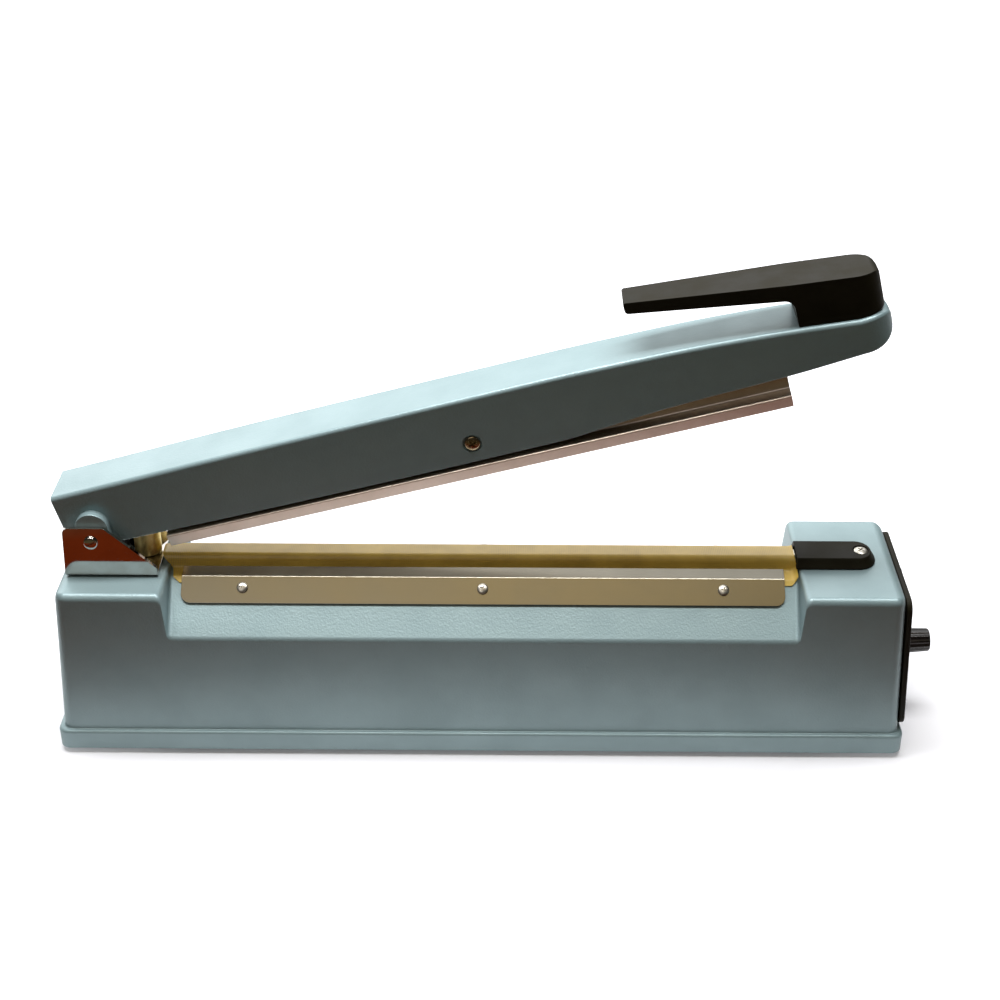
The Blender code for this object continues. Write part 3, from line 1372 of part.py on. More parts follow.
def add_hinge_pin(root):
    """The headed pin through both ears and the nut on its tail."""
    outside = BRACKET_WIDTH / 2 + CLEARANCE
    tail = outside + PIN_NUT_THICKNESS + PIN_TAIL
    profile = [
        (0, -outside - PIN_HEAD_HEIGHT),
        (PIN_HEAD_RADIUS, -outside - PIN_HEAD_HEIGHT),
        (PIN_HEAD_RADIUS, -outside),
        (PIN_RADIUS, -outside),
        (PIN_RADIUS, tail),
        (0, tail),
    ]
    bm = bmesh.new()
    add_turned(bm, profile, along_y)
    add_piece("hinge_pin", bm, "zinc_steel", root, (PIVOT_X, 0, PIVOT_Z), smooth=True)
    bore = (PIN_RADIUS + CLEARANCE) / math.cos(math.pi / HEX_SIDES)
    profile = [
        (PIN_NUT_RADIUS, outside),
        (PIN_NUT_RADIUS, outside + PIN_NUT_THICKNESS),
        (bore, outside + PIN_NUT_THICKNESS),
        (bore, outside),
    ]
    bm = bmesh.new()
    add_turned(bm, profile, along_y, HEX_SIDES, hollow=True)
    add_piece("hinge_pin_nut", bm, "zinc_steel", root, (PIVOT_X, 0, PIVOT_Z))


def spring_points():
    """The wire's path: straight ends, square to the cup and the arm, and an even helix between."""
    low = BRACKET_TOP + CLEARANCE + CUP_WALL + CLEARANCE
    reach = SPRING_X - SPRING_RADIUS
    high = PIVOT_Z + reach * math.tan(OPEN_ANGLE) + ARM_ROOF / math.cos(OPEN_ANGLE)
    high -= CLEARANCE + SPRING_WIRE_RADIUS * math.tan(OPEN_ANGLE)
    straight = 2 * SPRING_WIRE_RADIUS
    steps = SPRING_TURNS * SPRING_TURN_POINTS
    points = [Vector((-SPRING_RADIUS, 0, low))]
    for step in range(steps + 1):
        turn = math.pi + math.tau * step / SPRING_TURN_POINTS
        height = low + straight + (high - low - 2 * straight) * step / steps
        points.append(Vector((SPRING_RADIUS * math.cos(turn), SPRING_RADIUS * math.sin(turn), height)))
    points.append(Vector((-SPRING_RADIUS, 0, high)))
    return points


def least_self_gap(points):
    """The least air between turns of the wire, measured on points more than half a turn apart."""
    apart = SPRING_TURN_POINTS // 2
    pairs = [(a, b) for a in range(len(points)) for b in range(a + apart, len(points))]
    return min((points[a] - points[b]).length for a, b in pairs) - 2 * SPRING_WIRE_RADIUS


def add_lift_spring(root):
    """The coil spring that holds the arm up, standing in its brass cup."""
    place = PIVOT_X + SPRING_X
    low = BRACKET_TOP + CLEARANCE
    inner = CUP_RADIUS - CUP_WALL
    profile = [
        (0, low),
        (CUP_RADIUS, low),
        (CUP_RADIUS, low + CUP_HEIGHT),
        (inner, low + CUP_HEIGHT),
        (inner, low + CUP_WALL),
        (0, low + CUP_WALL),
    ]
    bm = bmesh.new()
    add_turned(bm, profile, along_z)
    add_piece("spring_cup", bm, "brass", root, (place, 0, 0), smooth=True)

    points = spring_points()
    curve = bpy.data.curves.new("lift_spring", "CURVE")
    curve.dimensions = "3D"
    curve.bevel_depth = SPRING_WIRE_RADIUS
    curve.bevel_resolution = SPRING_WIRE_RESOLUTION
    curve.use_fill_caps = True
    spline = curve.splines.new("POLY")
    spline.points.add(len(points) - 1)
    for target, point in zip(spline.points, points):
        target.co = (*point, 1)
    curve.materials.append(finish_of("zinc_steel"))
    spring = bpy.data.objects.new("lift_spring", curve)
    spring.location = (place, 0, 0)
    spring.parent = root
    bpy.context.scene.collection.objects.link(spring)
    print(f"lift_spring: least gap to itself {least_self_gap(points) * 1000:.2f} mm")


# Micro switch


def add_micro_switch(root, plunger_frame):
    """The switch that starts the pulse and the plunger that the arm's rib presses."""
    top = FOOT_HEIGHT + SWITCH_TOP
    body = rectangle(-SWITCH_LENGTH / 2, SWITCH_LENGTH / 2, top - SWITCH_HEIGHT, top)
    bm = bmesh.new()
    add_prism(bm, body, -SWITCH_WIDTH / 2, SWITCH_WIDTH / 2, along_y)
    add_piece("micro_switch", bm, "grey_plastic", root, (PIVOT_X + PLUNGER_X, 0, 0))
    low = top + CLEARANCE + PLUNGER_TRAVEL
    high = PIVOT_Z - RIB_DROP - CLEARANCE + PLUNGER_TRAVEL
    profile = [
        (0, low),
        (PLUNGER_COLLAR_RADIUS, low),
        (PLUNGER_COLLAR_RADIUS, low + PLUNGER_COLLAR_HEIGHT),
        (PLUNGER_RADIUS, low + PLUNGER_COLLAR_HEIGHT),
        (PLUNGER_RADIUS, high),
        (0, high),
    ]
    bm = bmesh.new()
    add_turned(bm, profile, along_z, SCREW_SIDES)
    add_piece("switch_plunger", bm, "grey_plastic", plunger_frame, smooth=True)


# Arm


def arm_stations():
    """(along, underside, top, half width, fillet) from the hinge end to the tip."""
    level = (1, 0, 0, 1, 1)
    rows = [(-ARM_REAR, *level[1:])]
    rows += [(ARM_LENGTH * along, *shares) for along, *shares in ARM_SHAPE_SHARES]
    stations = []
    for along, rise, fall, width, fillet in rows:
        low = rise * ARM_DEPTH - ARM_BOTTOM
        high = ARM_TOP - fall * ARM_DEPTH
        stations.append((along, low, high, width * ARM_WIDTH / 2, fillet * ARM_FILLET))
    start, low, high, half, fillet = stations[-1]
    middle = (low + high) / 2
    for step in range(1, ARM_TIP_STEPS + 1):
        angle = math.pi / 2 * step / ARM_TIP_STEPS
        share = max(math.cos(angle), 0) ** ARM_TIP_POWER_SHARE
        share = max(share, ARM_TIP_END_SHARE)
        along = start + (ARM_LENGTH - start) * math.sin(angle)
        below = middle + (low - middle) * share
        above = middle + (high - middle) * share
        stations.append((along, below, above, half * share, fillet * share))
    return stations


def arm_top_at(along):
    """Height of the arm's top face at a distance from the hinge."""
    stations = arm_stations()
    for first, second in zip(stations, stations[1:]):
        if first[0] <= along <= second[0]:
            share = (along - first[0]) / (second[0] - first[0])
            return first[2] + (second[2] - first[2]) * share
    return stations[0][2]


def circle_hull(upper, upper_radius, lower, lower_radius, sides):
    """The outline round two circles, the upper one standing over the lower."""
    lean = math.atan2(upper.y - lower.y, upper.x - lower.x)
    spread = math.acos((lower_radius - upper_radius) / (upper - lower).length)
    points = []
    for step in range(sides + 1):
        angle = lean - spread + 2 * spread * step / sides
        points.append(upper + upper_radius * Vector((math.cos(angle), math.sin(angle))))
    for step in range(sides + 1):
        angle = lean + spread + 2 * (math.pi - spread) * step / sides
        points.append(lower + lower_radius * Vector((math.cos(angle), math.sin(angle))))
    return points


def add_arm_casting(arm_frame):
    """The cast arm: a channel open below, solid at its tip, with hinge bosses and a switch rib."""
    rings = []
    for along, low, high, half, fillet in arm_stations():
        outline = filleted([(half, low, 0), (half, high, fillet), (-half, high, fillet), (-half, low, 0)])
        rings.append([along_x(y, z, along) for y, z in outline])
    bm = bmesh.new()
    add_loft(bm, rings)
    arm = add_piece("arm_casting", bm, "hammer_enamel", arm_frame, smooth=True)

    rear = ARM_WALL - ARM_REAR
    below = -ARM_BOTTOM - OVERRUN
    channel = [
        (rear, below),
        (ARM_CHANNEL_END, below),
        (ARM_CHANNEL_END, ARM_CHANNEL_FRONT_TOP),
        (ARM_CHANNEL_END - ARM_CHANNEL_SLOPE_LENGTH, ARM_ROOF),
        (rear, ARM_ROOF),
    ]
    inside = ARM_WIDTH / 2 - ARM_WALL
    bm = bmesh.new()
    add_prism(bm, channel, -inside, inside, along_y)
    combine(arm, "DIFFERENCE", add_guide("arm_channel", bm, arm_frame))

    upper = Vector((ARM_BOSS_UPPER_X, ARM_BOSS_UPPER_Z))
    outline = circle_hull(upper, ARM_BOSS_UPPER_RADIUS, Vector((0, 0)), ARM_BOSS_RADIUS, 2 * ARC_STEPS)
    inner = ARM_WIDTH / 2 - ARM_WALL / 2
    outer = BRACKET_WIDTH / 2 - BRACKET_SHEET - CLEARANCE
    bm = bmesh.new()
    add_prism(bm, outline, -outer, -inner, along_y)
    add_prism(bm, outline, inner, outer, along_y)
    rib_half = RIB_THICKNESS / 2
    rib = rectangle(PLUNGER_X - rib_half, PLUNGER_X + rib_half, -RIB_DROP, ARM_ROOF + ARM_WALL / 2)
    between = inside + ARM_WALL / 2 - CLEARANCE
    add_prism(bm, rib, -between, between, along_y)
    combine(arm, "UNION", add_guide("arm_bosses", bm, arm_frame))

    bm = bmesh.new()
    add_rod(bm, PIN_RADIUS + CLEARANCE, -BRACKET_WIDTH, BRACKET_WIDTH, along_y, sides=ROUND_SIDES)
    screw = (JAW_PIVOT_X, JAW_PIVOT_Z)
    half = ARM_WIDTH / 2
    recess = half - JAW_SCREW_RECESS_DEPTH
    bore = JAW_SCREW_RADIUS + CLEARANCE
    out = half + OVERRUN
    profile = [
        (0, -out),
        (JAW_SCREW_RECESS_RADIUS, -out),
        (JAW_SCREW_RECESS_RADIUS, -recess),
        (bore, -recess),
        (bore, recess),
        (JAW_SCREW_RECESS_RADIUS, recess),
        (JAW_SCREW_RECESS_RADIUS, out),
        (0, out),
    ]
    add_turned(bm, profile, along_y, centre=screw)
    pocket = HANDLE_SCREW_HEAD_RADIUS + CLEARANCE
    bore = HANDLE_SCREW_RADIUS + CLEARANCE
    for x in handle_screw_places().values():
        profile = [
            (0, below),
            (pocket, below),
            (pocket, HANDLE_SCREW_SEAT),
            (bore, HANDLE_SCREW_SEAT),
            (bore, ARM_TOP),
            (0, ARM_TOP),
        ]
        add_turned(bm, profile, along_z, SCREW_SIDES, centre=(x, 0))
    combine(arm, "DIFFERENCE", add_guide("arm_holes", bm, arm_frame))


# Handle


def handle_screw_places():
    """How far along the arm the handle's two screws stand."""
    return {
        "handle_screw_rear": HANDLE_POST_X + HANDLE_SCREW_INSET,
        "handle_screw_front": HANDLE_POST_X + HANDLE_SCREW_INSET + HANDLE_SCREW_SPACING,
    }


def add_handle(arm_frame):
    """The moulded handle: a grip that points back over the arm, on a post at the arm's tip."""
    slope = HANDLE_TOP_FALL / (HANDLE_END_X - HANDLE_TIP_X)
    throat_top = HANDLE_TIP_TOP - slope * (HANDLE_POST_X - HANDLE_TIP_X)
    end_top = HANDLE_TIP_TOP - HANDLE_TOP_FALL
    flat_end = arm_stations()[-ARM_TIP_STEPS - 1][0]
    post_low = arm_top_at(HANDLE_POST_X) + CLEARANCE
    end_low = arm_top_at(flat_end) + CLEARANCE
    side_view = filleted(
        [
            (HANDLE_TIP_X, HANDLE_TIP_TOP, HANDLE_TIP_FILLET),
            (HANDLE_TIP_X, HANDLE_TIP_TOP - HANDLE_TIP_THICKNESS, HANDLE_TIP_FILLET),
            (HANDLE_POST_X, throat_top - HANDLE_THROAT_THICKNESS, HANDLE_THROAT_FILLET),
            (HANDLE_POST_X, post_low, 0),
            (flat_end, end_low, 0),
            (HANDLE_END_X, end_low, 0),
            (HANDLE_END_X, end_top, HANDLE_CROWN_FILLET),
        ]
    )
    bm = bmesh.new()
    add_prism(bm, side_view, -HANDLE_POST_WIDTH, HANDLE_POST_WIDTH, along_y)
    handle = add_piece("handle", bm, "black_plastic", arm_frame)

    tip = HANDLE_TIP_WIDTH / 2
    post = HANDLE_POST_WIDTH / 2
    plan = filleted(
        [
            (HANDLE_TIP_X - OVERRUN, -tip, 0),
            (HANDLE_POST_X, -post, 0),
            (HANDLE_END_X, -post, post),
            (HANDLE_END_X, post, post),
            (HANDLE_POST_X, post, 0),
            (HANDLE_TIP_X - OVERRUN, tip, 0),
        ],
        2 * ARC_STEPS,
    )
    bm = bmesh.new()
    add_prism(bm, plan, 0, HANDLE_TIP_TOP + OVERRUN, along_z)
    combine(handle, "INTERSECT", add_guide("handle_plan", bm, arm_frame))

    bm = bmesh.new()
    bore = HANDLE_SCREW_RADIUS + CLEARANCE
    for x in handle_screw_places().values():
        top = HANDLE_SCREW_SEAT + HANDLE_SCREW_LENGTH + CLEARANCE
        add_rod(bm, bore, 0, top, along_z, (x, 0))
    combine(handle, "DIFFERENCE", add_guide("handle_bores", bm, arm_frame))
    for name, x in handle_screw_places().items():
        pan_screw(
            name,
            "zinc_steel",
            arm_frame,
            (x, 0, HANDLE_SCREW_SEAT),
            (math.pi, 0, 0),
            HANDLE_SCREW_RADIUS,
            HANDLE_SCREW_HEAD_RADIUS,
            HANDLE_SCREW_HEAD_HEIGHT,
            HANDLE_SCREW_LENGTH,
        )


# Jaw bar


def add_jaw_bar(jaw_frame):
    """The flared bar and its silicone strip, placed about the pivot screw."""
    silicone_low = -JAW_DROP
    low = silicone_low + SILICONE_THICKNESS + CLEARANCE
    wall = JAW_HALF_WALL
    inner = JAW_HALF_WALL - JAW_SHEET
    neck = low + JAW_LIP + JAW_FLARE_HEIGHT
    floor = low + 2 * JAW_SHEET
    right = [(JAW_HALF_FOOT, low), (JAW_HALF_FOOT, low + JAW_LIP), (wall, neck), (wall, JAW_TOP)]
    left = [(-y, z) for y, z in reversed(right)]
    channel = [(-inner, JAW_TOP), (-inner, floor), (inner, floor), (inner, JAW_TOP)]
    outline = right + channel[::-1] + left
    front = JAW_LENGTH - JAW_REAR
    bm = bmesh.new()
    add_prism(bm, outline, -JAW_REAR, front, along_x)
    bar = add_piece("jaw_bar", bm, "aluminium", jaw_frame)
    bm = bmesh.new()
    add_rod(bm, JAW_SCREW_RADIUS + JAW_SCREW_SLACK, -JAW_HALF_FOOT, JAW_HALF_FOOT, along_y, sides=ROUND_SIDES)
    combine(bar, "DIFFERENCE", add_guide("jaw_pivot_hole", bm, jaw_frame))

    half = JAW_HALF_FOOT - SILICONE_SHY
    strip = rectangle(-half, half, silicone_low, silicone_low + SILICONE_THICKNESS)
    bm = bmesh.new()
    add_prism(bm, strip, -JAW_REAR, front, along_x)
    add_piece("silicone_strip", bm, "silicone", jaw_frame)


def add_jaw_screw(arm_frame):
    """The screw that the jaw bar rocks on, and its nut, both sunk in the arm's walls."""
    seat = ARM_WIDTH / 2 - JAW_SCREW_RECESS_DEPTH + CLEARANCE
    head = seat + JAW_SCREW_HEAD_HEIGHT
    profile = [
        (0, -head),
        (JAW_SCREW_HEAD_RADIUS, -head),
        (JAW_SCREW_HEAD_RADIUS, -seat),
        (JAW_SCREW_RADIUS, -seat),
        (JAW_SCREW_RADIUS, head),
        (0, head),
    ]
    place = (JAW_PIVOT_X, 0, JAW_PIVOT_Z)
    bm = bmesh.new()
    add_turned(bm, profile, along_y)
    add_piece("jaw_pivot_screw", bm, "zinc_steel", arm_frame, place, smooth=True)
    bore = (JAW_SCREW_RADIUS + CLEARANCE) / math.cos(math.pi / HEX_SIDES)
    rim = JAW_SCREW_RECESS_RADIUS - CLEARANCE
    profile = [(rim, seat), (rim, head), (bore, head), (bore, seat)]
    bm = bmesh.new()
    add_turned(bm, profile, along_y, HEX_SIDES, hollow=True)
    add_piece("jaw_pivot_nut", bm, "zinc_steel", arm_frame, place)


def build():
    """Builds every piece of the sealer under its frames."""
    clear_scene()
    root = add_frame("sealer", None, (-MIDDLE_X, 0, 0))
    end_frame = add_frame("end_wall_frame", root, (WALL_FOOT_X, 0, WALL_FOOT_Z), (0, -WALL_TILT, 0))
    knob_frame = add_frame("knob_axis", end_frame, (0, 0, KNOB_LIFT))
    gland_y = wall_half_width(GLAND_Z - FOOT_HEIGHT)
    gland_turn = WALL_TILT - math.pi / 2
    gland_frame = add_frame("gland_frame", root, (GLAND_X, gland_y, GLAND_Z), (gland_turn, 0, 0))
    arm_frame = add_frame("arm_axis", root, (PIVOT_X, 0, PIVOT_Z), (0, -OPEN_ANGLE, 0))
    jaw_frame = add_frame("jaw_axis", arm_frame, (JAW_PIVOT_X, 0, JAW_PIVOT_Z), (0, JAW_TILT, 0))
    plunger_frame = add_frame("plunger_axis", root, (PIVOT_X + PLUNGER_X, 0, 0))

    add_housing(root, end_frame, gland_frame)
    add_bottom_plate(root)
    add_feet(root)
    add_end_panel(end_frame)
    add_pilot_lamp(end_frame)
    add_timer_control(end_frame, knob_frame)
    add_cord_gland(gland_frame)
    add_transformer(root)
    add_circuit_board(root)
    add_sealing_bar(root)
    add_cloth(root)
    add_clamp_strips(root)
    add_terminal_cover(root)
    add_hinge_bracket(root)
    add_hinge_pin(root)
    add_lift_spring(root)
    add_micro_switch(root, plunger_frame)
    add_arm_casting(arm_frame)
    add_handle(arm_frame)
    add_jaw_bar(jaw_frame)
    add_jaw_screw(arm_frame)


if __name__ == "__main__":
    build()
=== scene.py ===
"""Looks of an impulse bag sealer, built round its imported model.

Each class is one sub-assembly and holds its sizes in metres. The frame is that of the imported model: +X runs
from the hinge to the timer knob, +Z is up, and the user stands on the -Y side.
"""

import logging
import math
from collections.abc import Callable, Sequence
from dataclasses import dataclass, field
from enum import Enum

import bmesh
import bpy
from bmesh.types import BMesh, BMVert
from bpy.types import ID, Material, Node, NodeOutputs, NodeSocket, NodeTree, Object
from mathutils import Matrix, Vector

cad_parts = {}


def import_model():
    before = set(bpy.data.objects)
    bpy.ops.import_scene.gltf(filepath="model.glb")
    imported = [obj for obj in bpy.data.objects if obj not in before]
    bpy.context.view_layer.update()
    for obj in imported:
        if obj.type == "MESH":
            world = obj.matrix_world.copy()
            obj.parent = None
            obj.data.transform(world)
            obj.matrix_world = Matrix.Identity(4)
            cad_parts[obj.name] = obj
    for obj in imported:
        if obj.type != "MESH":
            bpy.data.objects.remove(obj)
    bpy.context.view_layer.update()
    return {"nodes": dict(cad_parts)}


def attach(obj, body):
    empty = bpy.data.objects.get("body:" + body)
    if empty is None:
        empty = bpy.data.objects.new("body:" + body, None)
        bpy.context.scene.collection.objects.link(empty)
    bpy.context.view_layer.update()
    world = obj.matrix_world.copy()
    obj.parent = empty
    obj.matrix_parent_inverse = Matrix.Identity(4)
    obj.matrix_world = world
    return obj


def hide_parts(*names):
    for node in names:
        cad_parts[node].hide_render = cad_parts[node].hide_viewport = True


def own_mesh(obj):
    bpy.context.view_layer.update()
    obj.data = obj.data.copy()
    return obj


LOG = logging.getLogger("bag_sealer")

MERGE = 0.000001
LIMIT_SHARE = 0.45
OVERCUT = 0.002
FLAT_ANGLE = math.radians(1)
SMOOTH_ANGLE = math.radians(32)

# Places of the moving frames and of the leaning walls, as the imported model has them
MIDDLE_X = 0.0088
FLOOR_GAP = 0.0025
CLEARANCE = 0.0003
WALL_TILT = math.atan(0.05)
OPEN_ANGLE = math.radians(15.2)
JAW_TILT = math.radians(0.35)
ROOT = Matrix.Translation((-MIDDLE_X, 0, 0))
ARM_FRAME = Matrix.Translation((-0.198845, 0, 0.112)) @ Matrix.Rotation(-OPEN_ANGLE, 4, "Y")
JAW_FRAME = ARM_FRAME @ Matrix.Translation((0.1941, 0, 0.002)) @ Matrix.Rotation(JAW_TILT, 4, "Y")
END_FRAME = Matrix.Translation((0.2032, 0, 0.0126)) @ Matrix.Rotation(-WALL_TILT, 4, "Y")
TOWER_TOP = 0.0917
FOOT_X, FOOT_Y = 0.176, 0.03
KNOB_LIFT, LAMP_LIFT = 0.0284, 0.05348

# Corner: u, v and fillet radius. Place: x, y and z. Spot: y, z and how far back from the flange's end
Point = tuple[float, float]
Corner = tuple[float, float, float]
Place = tuple[float, float, float]
Spot = tuple[float, float, float]
Sweep = Callable[[float, float, float], Vector]
NodeOrSocket = Node | NodeSocket


# Outlines and meshes


def along_x(u: float, v: float, w: float) -> Vector:
    """An outline in the YZ plane, swept along X."""
    return Vector((w, u, v))


def along_y(u: float, v: float, w: float) -> Vector:
    """An outline in the XZ plane, swept along Y."""
    return Vector((u, w, v))


def along_z(u: float, v: float, w: float) -> Vector:
    """An outline in the XY plane, swept along Z."""
    return Vector((u, v, w))


def corner_arc(before: Vector, corner: Vector, after: Vector, radius: float, steps: int) -> list[Vector]:
    """Rounds one corner of an outline.

    Args:
        before: The outline's point before the corner.
        corner: The corner itself.
        after: The outline's point after it.
        radius: The fillet's radius.
        steps: How many chords the arc has.

    Returns:
        The points of the arc.
    """
    back = before - corner
    ahead = after - corner
    half = back.angle(ahead) / 2
    run = min(radius / math.tan(half), LIMIT_SHARE * back.length, LIMIT_SHARE * ahead.length)
    bisector = (back.normalized() + ahead.normalized()).normalized()
    centre = corner + bisector * (run / math.cos(half))
    start = corner + back.normalized() * run - centre
    end = corner + ahead.normalized() * run - centre
    turn = math.atan2(start.x * end.y - start.y * end.x, start.dot(end))
    return [centre + Matrix.Rotation(turn * step / steps, 2) @ start for step in range(steps + 1)]


def mirrored(half: Sequence[Corner]) -> list[Corner]:
    """Corners on one side of the axis, with their mirror images after them."""
    return [*half, *[(-u, v, radius) for u, v, radius in reversed(half)]]


def filleted(corners: Sequence[Corner], steps: int = 8) -> list[Vector]:
    """A closed outline from corners (u, v, fillet radius)."""
    points = []
    for index, (u, v, radius) in enumerate(corners):
        corner = Vector((u, v))
        if radius == 0:
            points.append(corner)
            continue
        before = Vector(corners[index - 1][:2])
        after = Vector(corners[(index + 1) % len(corners)][:2])
        points += corner_arc(before, corner, after, radius, steps)
    return points


def filleted_run(corners: Sequence[Corner], steps: int = 8) -> list[Vector]:
    """An open run from corners (u, v, fillet radius), with its two ends left as they are."""
    points = [Vector(corners[0][:2])]
    for before, corner, after in zip(corners, corners[1:], corners[2:]):
        if corner[2] == 0:
            points.append(Vector(corner[:2]))
            continue
        points += corner_arc(Vector(before[:2]), Vector(corner[:2]), Vector(after[:2]), corner[2], steps)
    points.append(Vector(corners[-1][:2]))
    return points


def offset_run(run: Sequence[Vector], distance: float) -> list[Vector]:
    """An open run moved to the left of its direction, with its corners kept."""
    normals = []
    for first, second in zip(run, run[1:]):
        along = (second - first).normalized()
        normals.append(Vector((-along.y, along.x)))
    moved = []
    for index, point in enumerate(run):
        before = normals[max(index - 1, 0)]
        after = normals[min(index, len(normals) - 1)]
        moved.append(point + (before + after) * distance / (1 + before.dot(after)))
    return moved


def run_length(run: Sequence[Vector]) -> float:
    """How long an open run is."""
    return sum((second - first).length for first, second in zip(run, run[1:]))


def quarter(steps: int) -> list[float]:
    """The angles of a quarter turn."""
    return [math.pi / 2 * step / steps for step in range(steps + 1)]


def rectangle(left: float, right: float, low: float, high: float, radius: float = 0) -> list[Vector]:
    """A rectangle's outline with its corners rounded."""
    return filleted([(left, low, radius), (right, low, radius), (right, high, radius), (left, high, radius)])


def circle(radius: float, sides: int, centre: Point = (0, 0)) -> list[Vector]:
    """A round outline."""
    middle = Vector(centre)
    turns = [math.tau * step / sides for step in range(sides)]
    return [middle + radius * Vector((math.cos(turn), math.sin(turn))) for turn in turns]


def add_skin(bm: BMesh, rings: Sequence[Sequence[Vector]], wrap: bool = False) -> list[list]:
    """Lays quads between neighbouring rings.

    Args:
        bm: The mesh that receives them.
        rings: Rings of points, each closed on itself and all with the same count.
        wrap: Whether the last ring joins the first.

    Returns:
        The rings' vertices.
    """
    loops = [[bm.verts.new(point) for point in ring] for ring in rings]
    pairs = list(zip(loops, loops[1:])) + ([(loops[-1], loops[0])] if wrap else [])
    for first, second in pairs:
        for index in range(len(first)):
            after = (index + 1) % len(first)
            bm.faces.new((first[index], first[after], second[after], second[index]))
    return loops


def add_cap(bm: BMesh, loop: Sequence[BMVert], count: int) -> None:
    """Lays quads between the two halves of a ring that runs out and back, from its ends on."""
    for index in range(count):
        bm.faces.new((loop[index], loop[index + 1], loop[-index - 2], loop[-index - 1]))


def loft(rings: Sequence[Sequence[Vector]]) -> BMesh:
    """A solid through rings of points, closed by flat caps."""
    bm = bmesh.new()
    loops = add_skin(bm, rings)
    bm.faces.new(loops[0])
    bm.faces.new(loops[-1])
    return bm


def prism(outline: Sequence[Vector], low: float, high: float, place: Sweep) -> BMesh:
    """A solid: an outline swept straight between two depths."""
    return loft([[place(point[0], point[1], depth) for point in outline] for depth in (low, high)])


def add_turned(
    bm: BMesh, profile: Sequence[Point], place: Sweep, sides: int = 48, hollow: bool = False, centre: Point = (0, 0)
) -> None:
    """Turns a profile about its axis.

    Args:
        bm: The mesh that receives the turned shape.
        profile: Points (radius, depth).
        place: Which way the axis points.
        sides: How many facets go round.
        hollow: Whether the profile closes on itself instead of on the axis.
        centre: Where the axis stands.
    """
    rings = [[place(p.x, p.y, depth) for p in circle(radius, sides, centre)] for radius, depth in profile]
    add_skin(bm, rings, wrap=hollow)


def add_rod(
    bm: BMesh, radius: float, low: float, high: float, place: Sweep, centre: Point = (0, 0), sides: int = 32
) -> None:
    """Adds a plain round rod, for holes and shanks."""
    add_turned(bm, [(0, low), (radius, low), (radius, high), (0, high)], place, sides, centre=centre)


def link(name: str, data: ID) -> Object:
    """A new object in the scene."""
    obj = bpy.data.objects.new(name, data)
    bpy.context.scene.collection.objects.link(obj)
    return obj


def mesh_object(name: str, bm: BMesh, place: Matrix | None = None) -> Object:
    """Makes an object from a mesh, closed, outward and with its place in its points.

    Args:
        name: The object's name.
        bm: The mesh, which is freed.
        place: Where the mesh goes in the model's frame.

    Returns:
        The object, linked to the scene.
    """
    bmesh.ops.remove_doubles(bm, verts=bm.verts, dist=MERGE)
    bmesh.ops.dissolve_degenerate(bm, edges=bm.edges, dist=MERGE)
    bmesh.ops.recalc_face_normals(bm, faces=bm.faces)
    if place is not None:
        bmesh.ops.transform(bm, matrix=place, verts=bm.verts)
    mesh = bpy.data.meshes.new(name)
    bm.to_mesh(mesh)
    bm.free()
    return link(name, mesh)


def freeze(obj: Object) -> Object:
    """Turns an object's modifiers into its plain mesh.

    Args:
        obj: The object to freeze.

    Returns:
        The same object, with no modifier left.
    """
    graph = bpy.context.evaluated_depsgraph_get()
    mesh = bpy.data.meshes.new_from_object(obj.evaluated_get(graph), depsgraph=graph)
    mesh.name = obj.name
    obj.modifiers.clear()
    obj.data = mesh
    return obj


def combine(obj: Object, operation: str, bm: BMesh, place: Matrix | None = None) -> None:
    """Joins a shape to an object, cuts it away or keeps what they share.

    Args:
        obj: The object to change.
        operation: UNION, DIFFERENCE or INTERSECT.
        bm: The other shape.
        place: Where that shape goes.
    """
    tool = mesh_object("tool", bm, place)
    modifier = obj.modifiers.new("combine", "BOOLEAN")
    modifier.operation = operation
    modifier.solver = "EXACT"
    modifier.object = tool
    freeze(obj)
    bpy.data.objects.remove(tool, do_unlink=True)


def drill(obj: Object, place: Matrix, sweep: Sweep, *rods: tuple[float, float, float, Point]) -> None:
    """Drills round holes through an object, each given as (radius, low, high, centre)."""
    holes = bmesh.new()
    for radius, low, high, centre in rods:
        add_rod(holes, radius, low, high, sweep, centre)
    combine(obj, "DIFFERENCE", holes, place)


def soften(obj: Object, width: float, segments: int = 3, angle: float = 35) -> None:
    """Rounds an object's sharp edges with a small bevel."""
    modifier = obj.modifiers.new("edges", "BEVEL")
    modifier.width = width
    modifier.segments = segments
    modifier.limit_method = "ANGLE"
    modifier.angle_limit = math.radians(angle)
    freeze(obj)


# Materials


def srgb(code: str) -> tuple[float, float, float, float]:
    """Turns an sRGB hex colour into the linear colour that a shader reads."""
    values = [int(code[index : index + 2], 16) / 255 for index in (1, 3, 5)]
    linear = [value / 12.92 if value <= 0.04045 else ((value + 0.055) / 1.055) ** 2.4 for value in values]
    return (*linear, 1.0)


def add_node(tree: NodeTree, kind: str, inputs: dict | None = None, **settings: object) -> Node:
    """Adds a node, sets its options, and fills or links its inputs.

    Args:
        tree: The tree that receives the node.
        kind: The node's type.
        inputs: Values, output sockets, or nodes that stand for their first output, by input name or number.
        settings: The node's own options.

    Returns:
        The new node.
    """
    node = tree.nodes.new(kind)
    for option, value in settings.items():
        setattr(node, option, value)
    for key, value in (inputs or {}).items():
        if isinstance(value, Node):
            value = value.outputs[0]
        if isinstance(value, NodeSocket):
            tree.links.new(value, node.inputs[key])
        else:
            node.inputs[key].default_value = value
    return node


class Surface(Enum):
    """How a surface got its fine relief."""

    HAMMERED = "stoved hammer enamel over a casting"
    MOULDED = "moulded against a spark-eroded tool"
    BRUSHED = "drawn or brushed along the piece"
    PLATED = "plated or polished metal"
    WOVEN = "coated glass weave"
    LAMINATED = "stacked stampings"
    WOUND = "turns of wire"


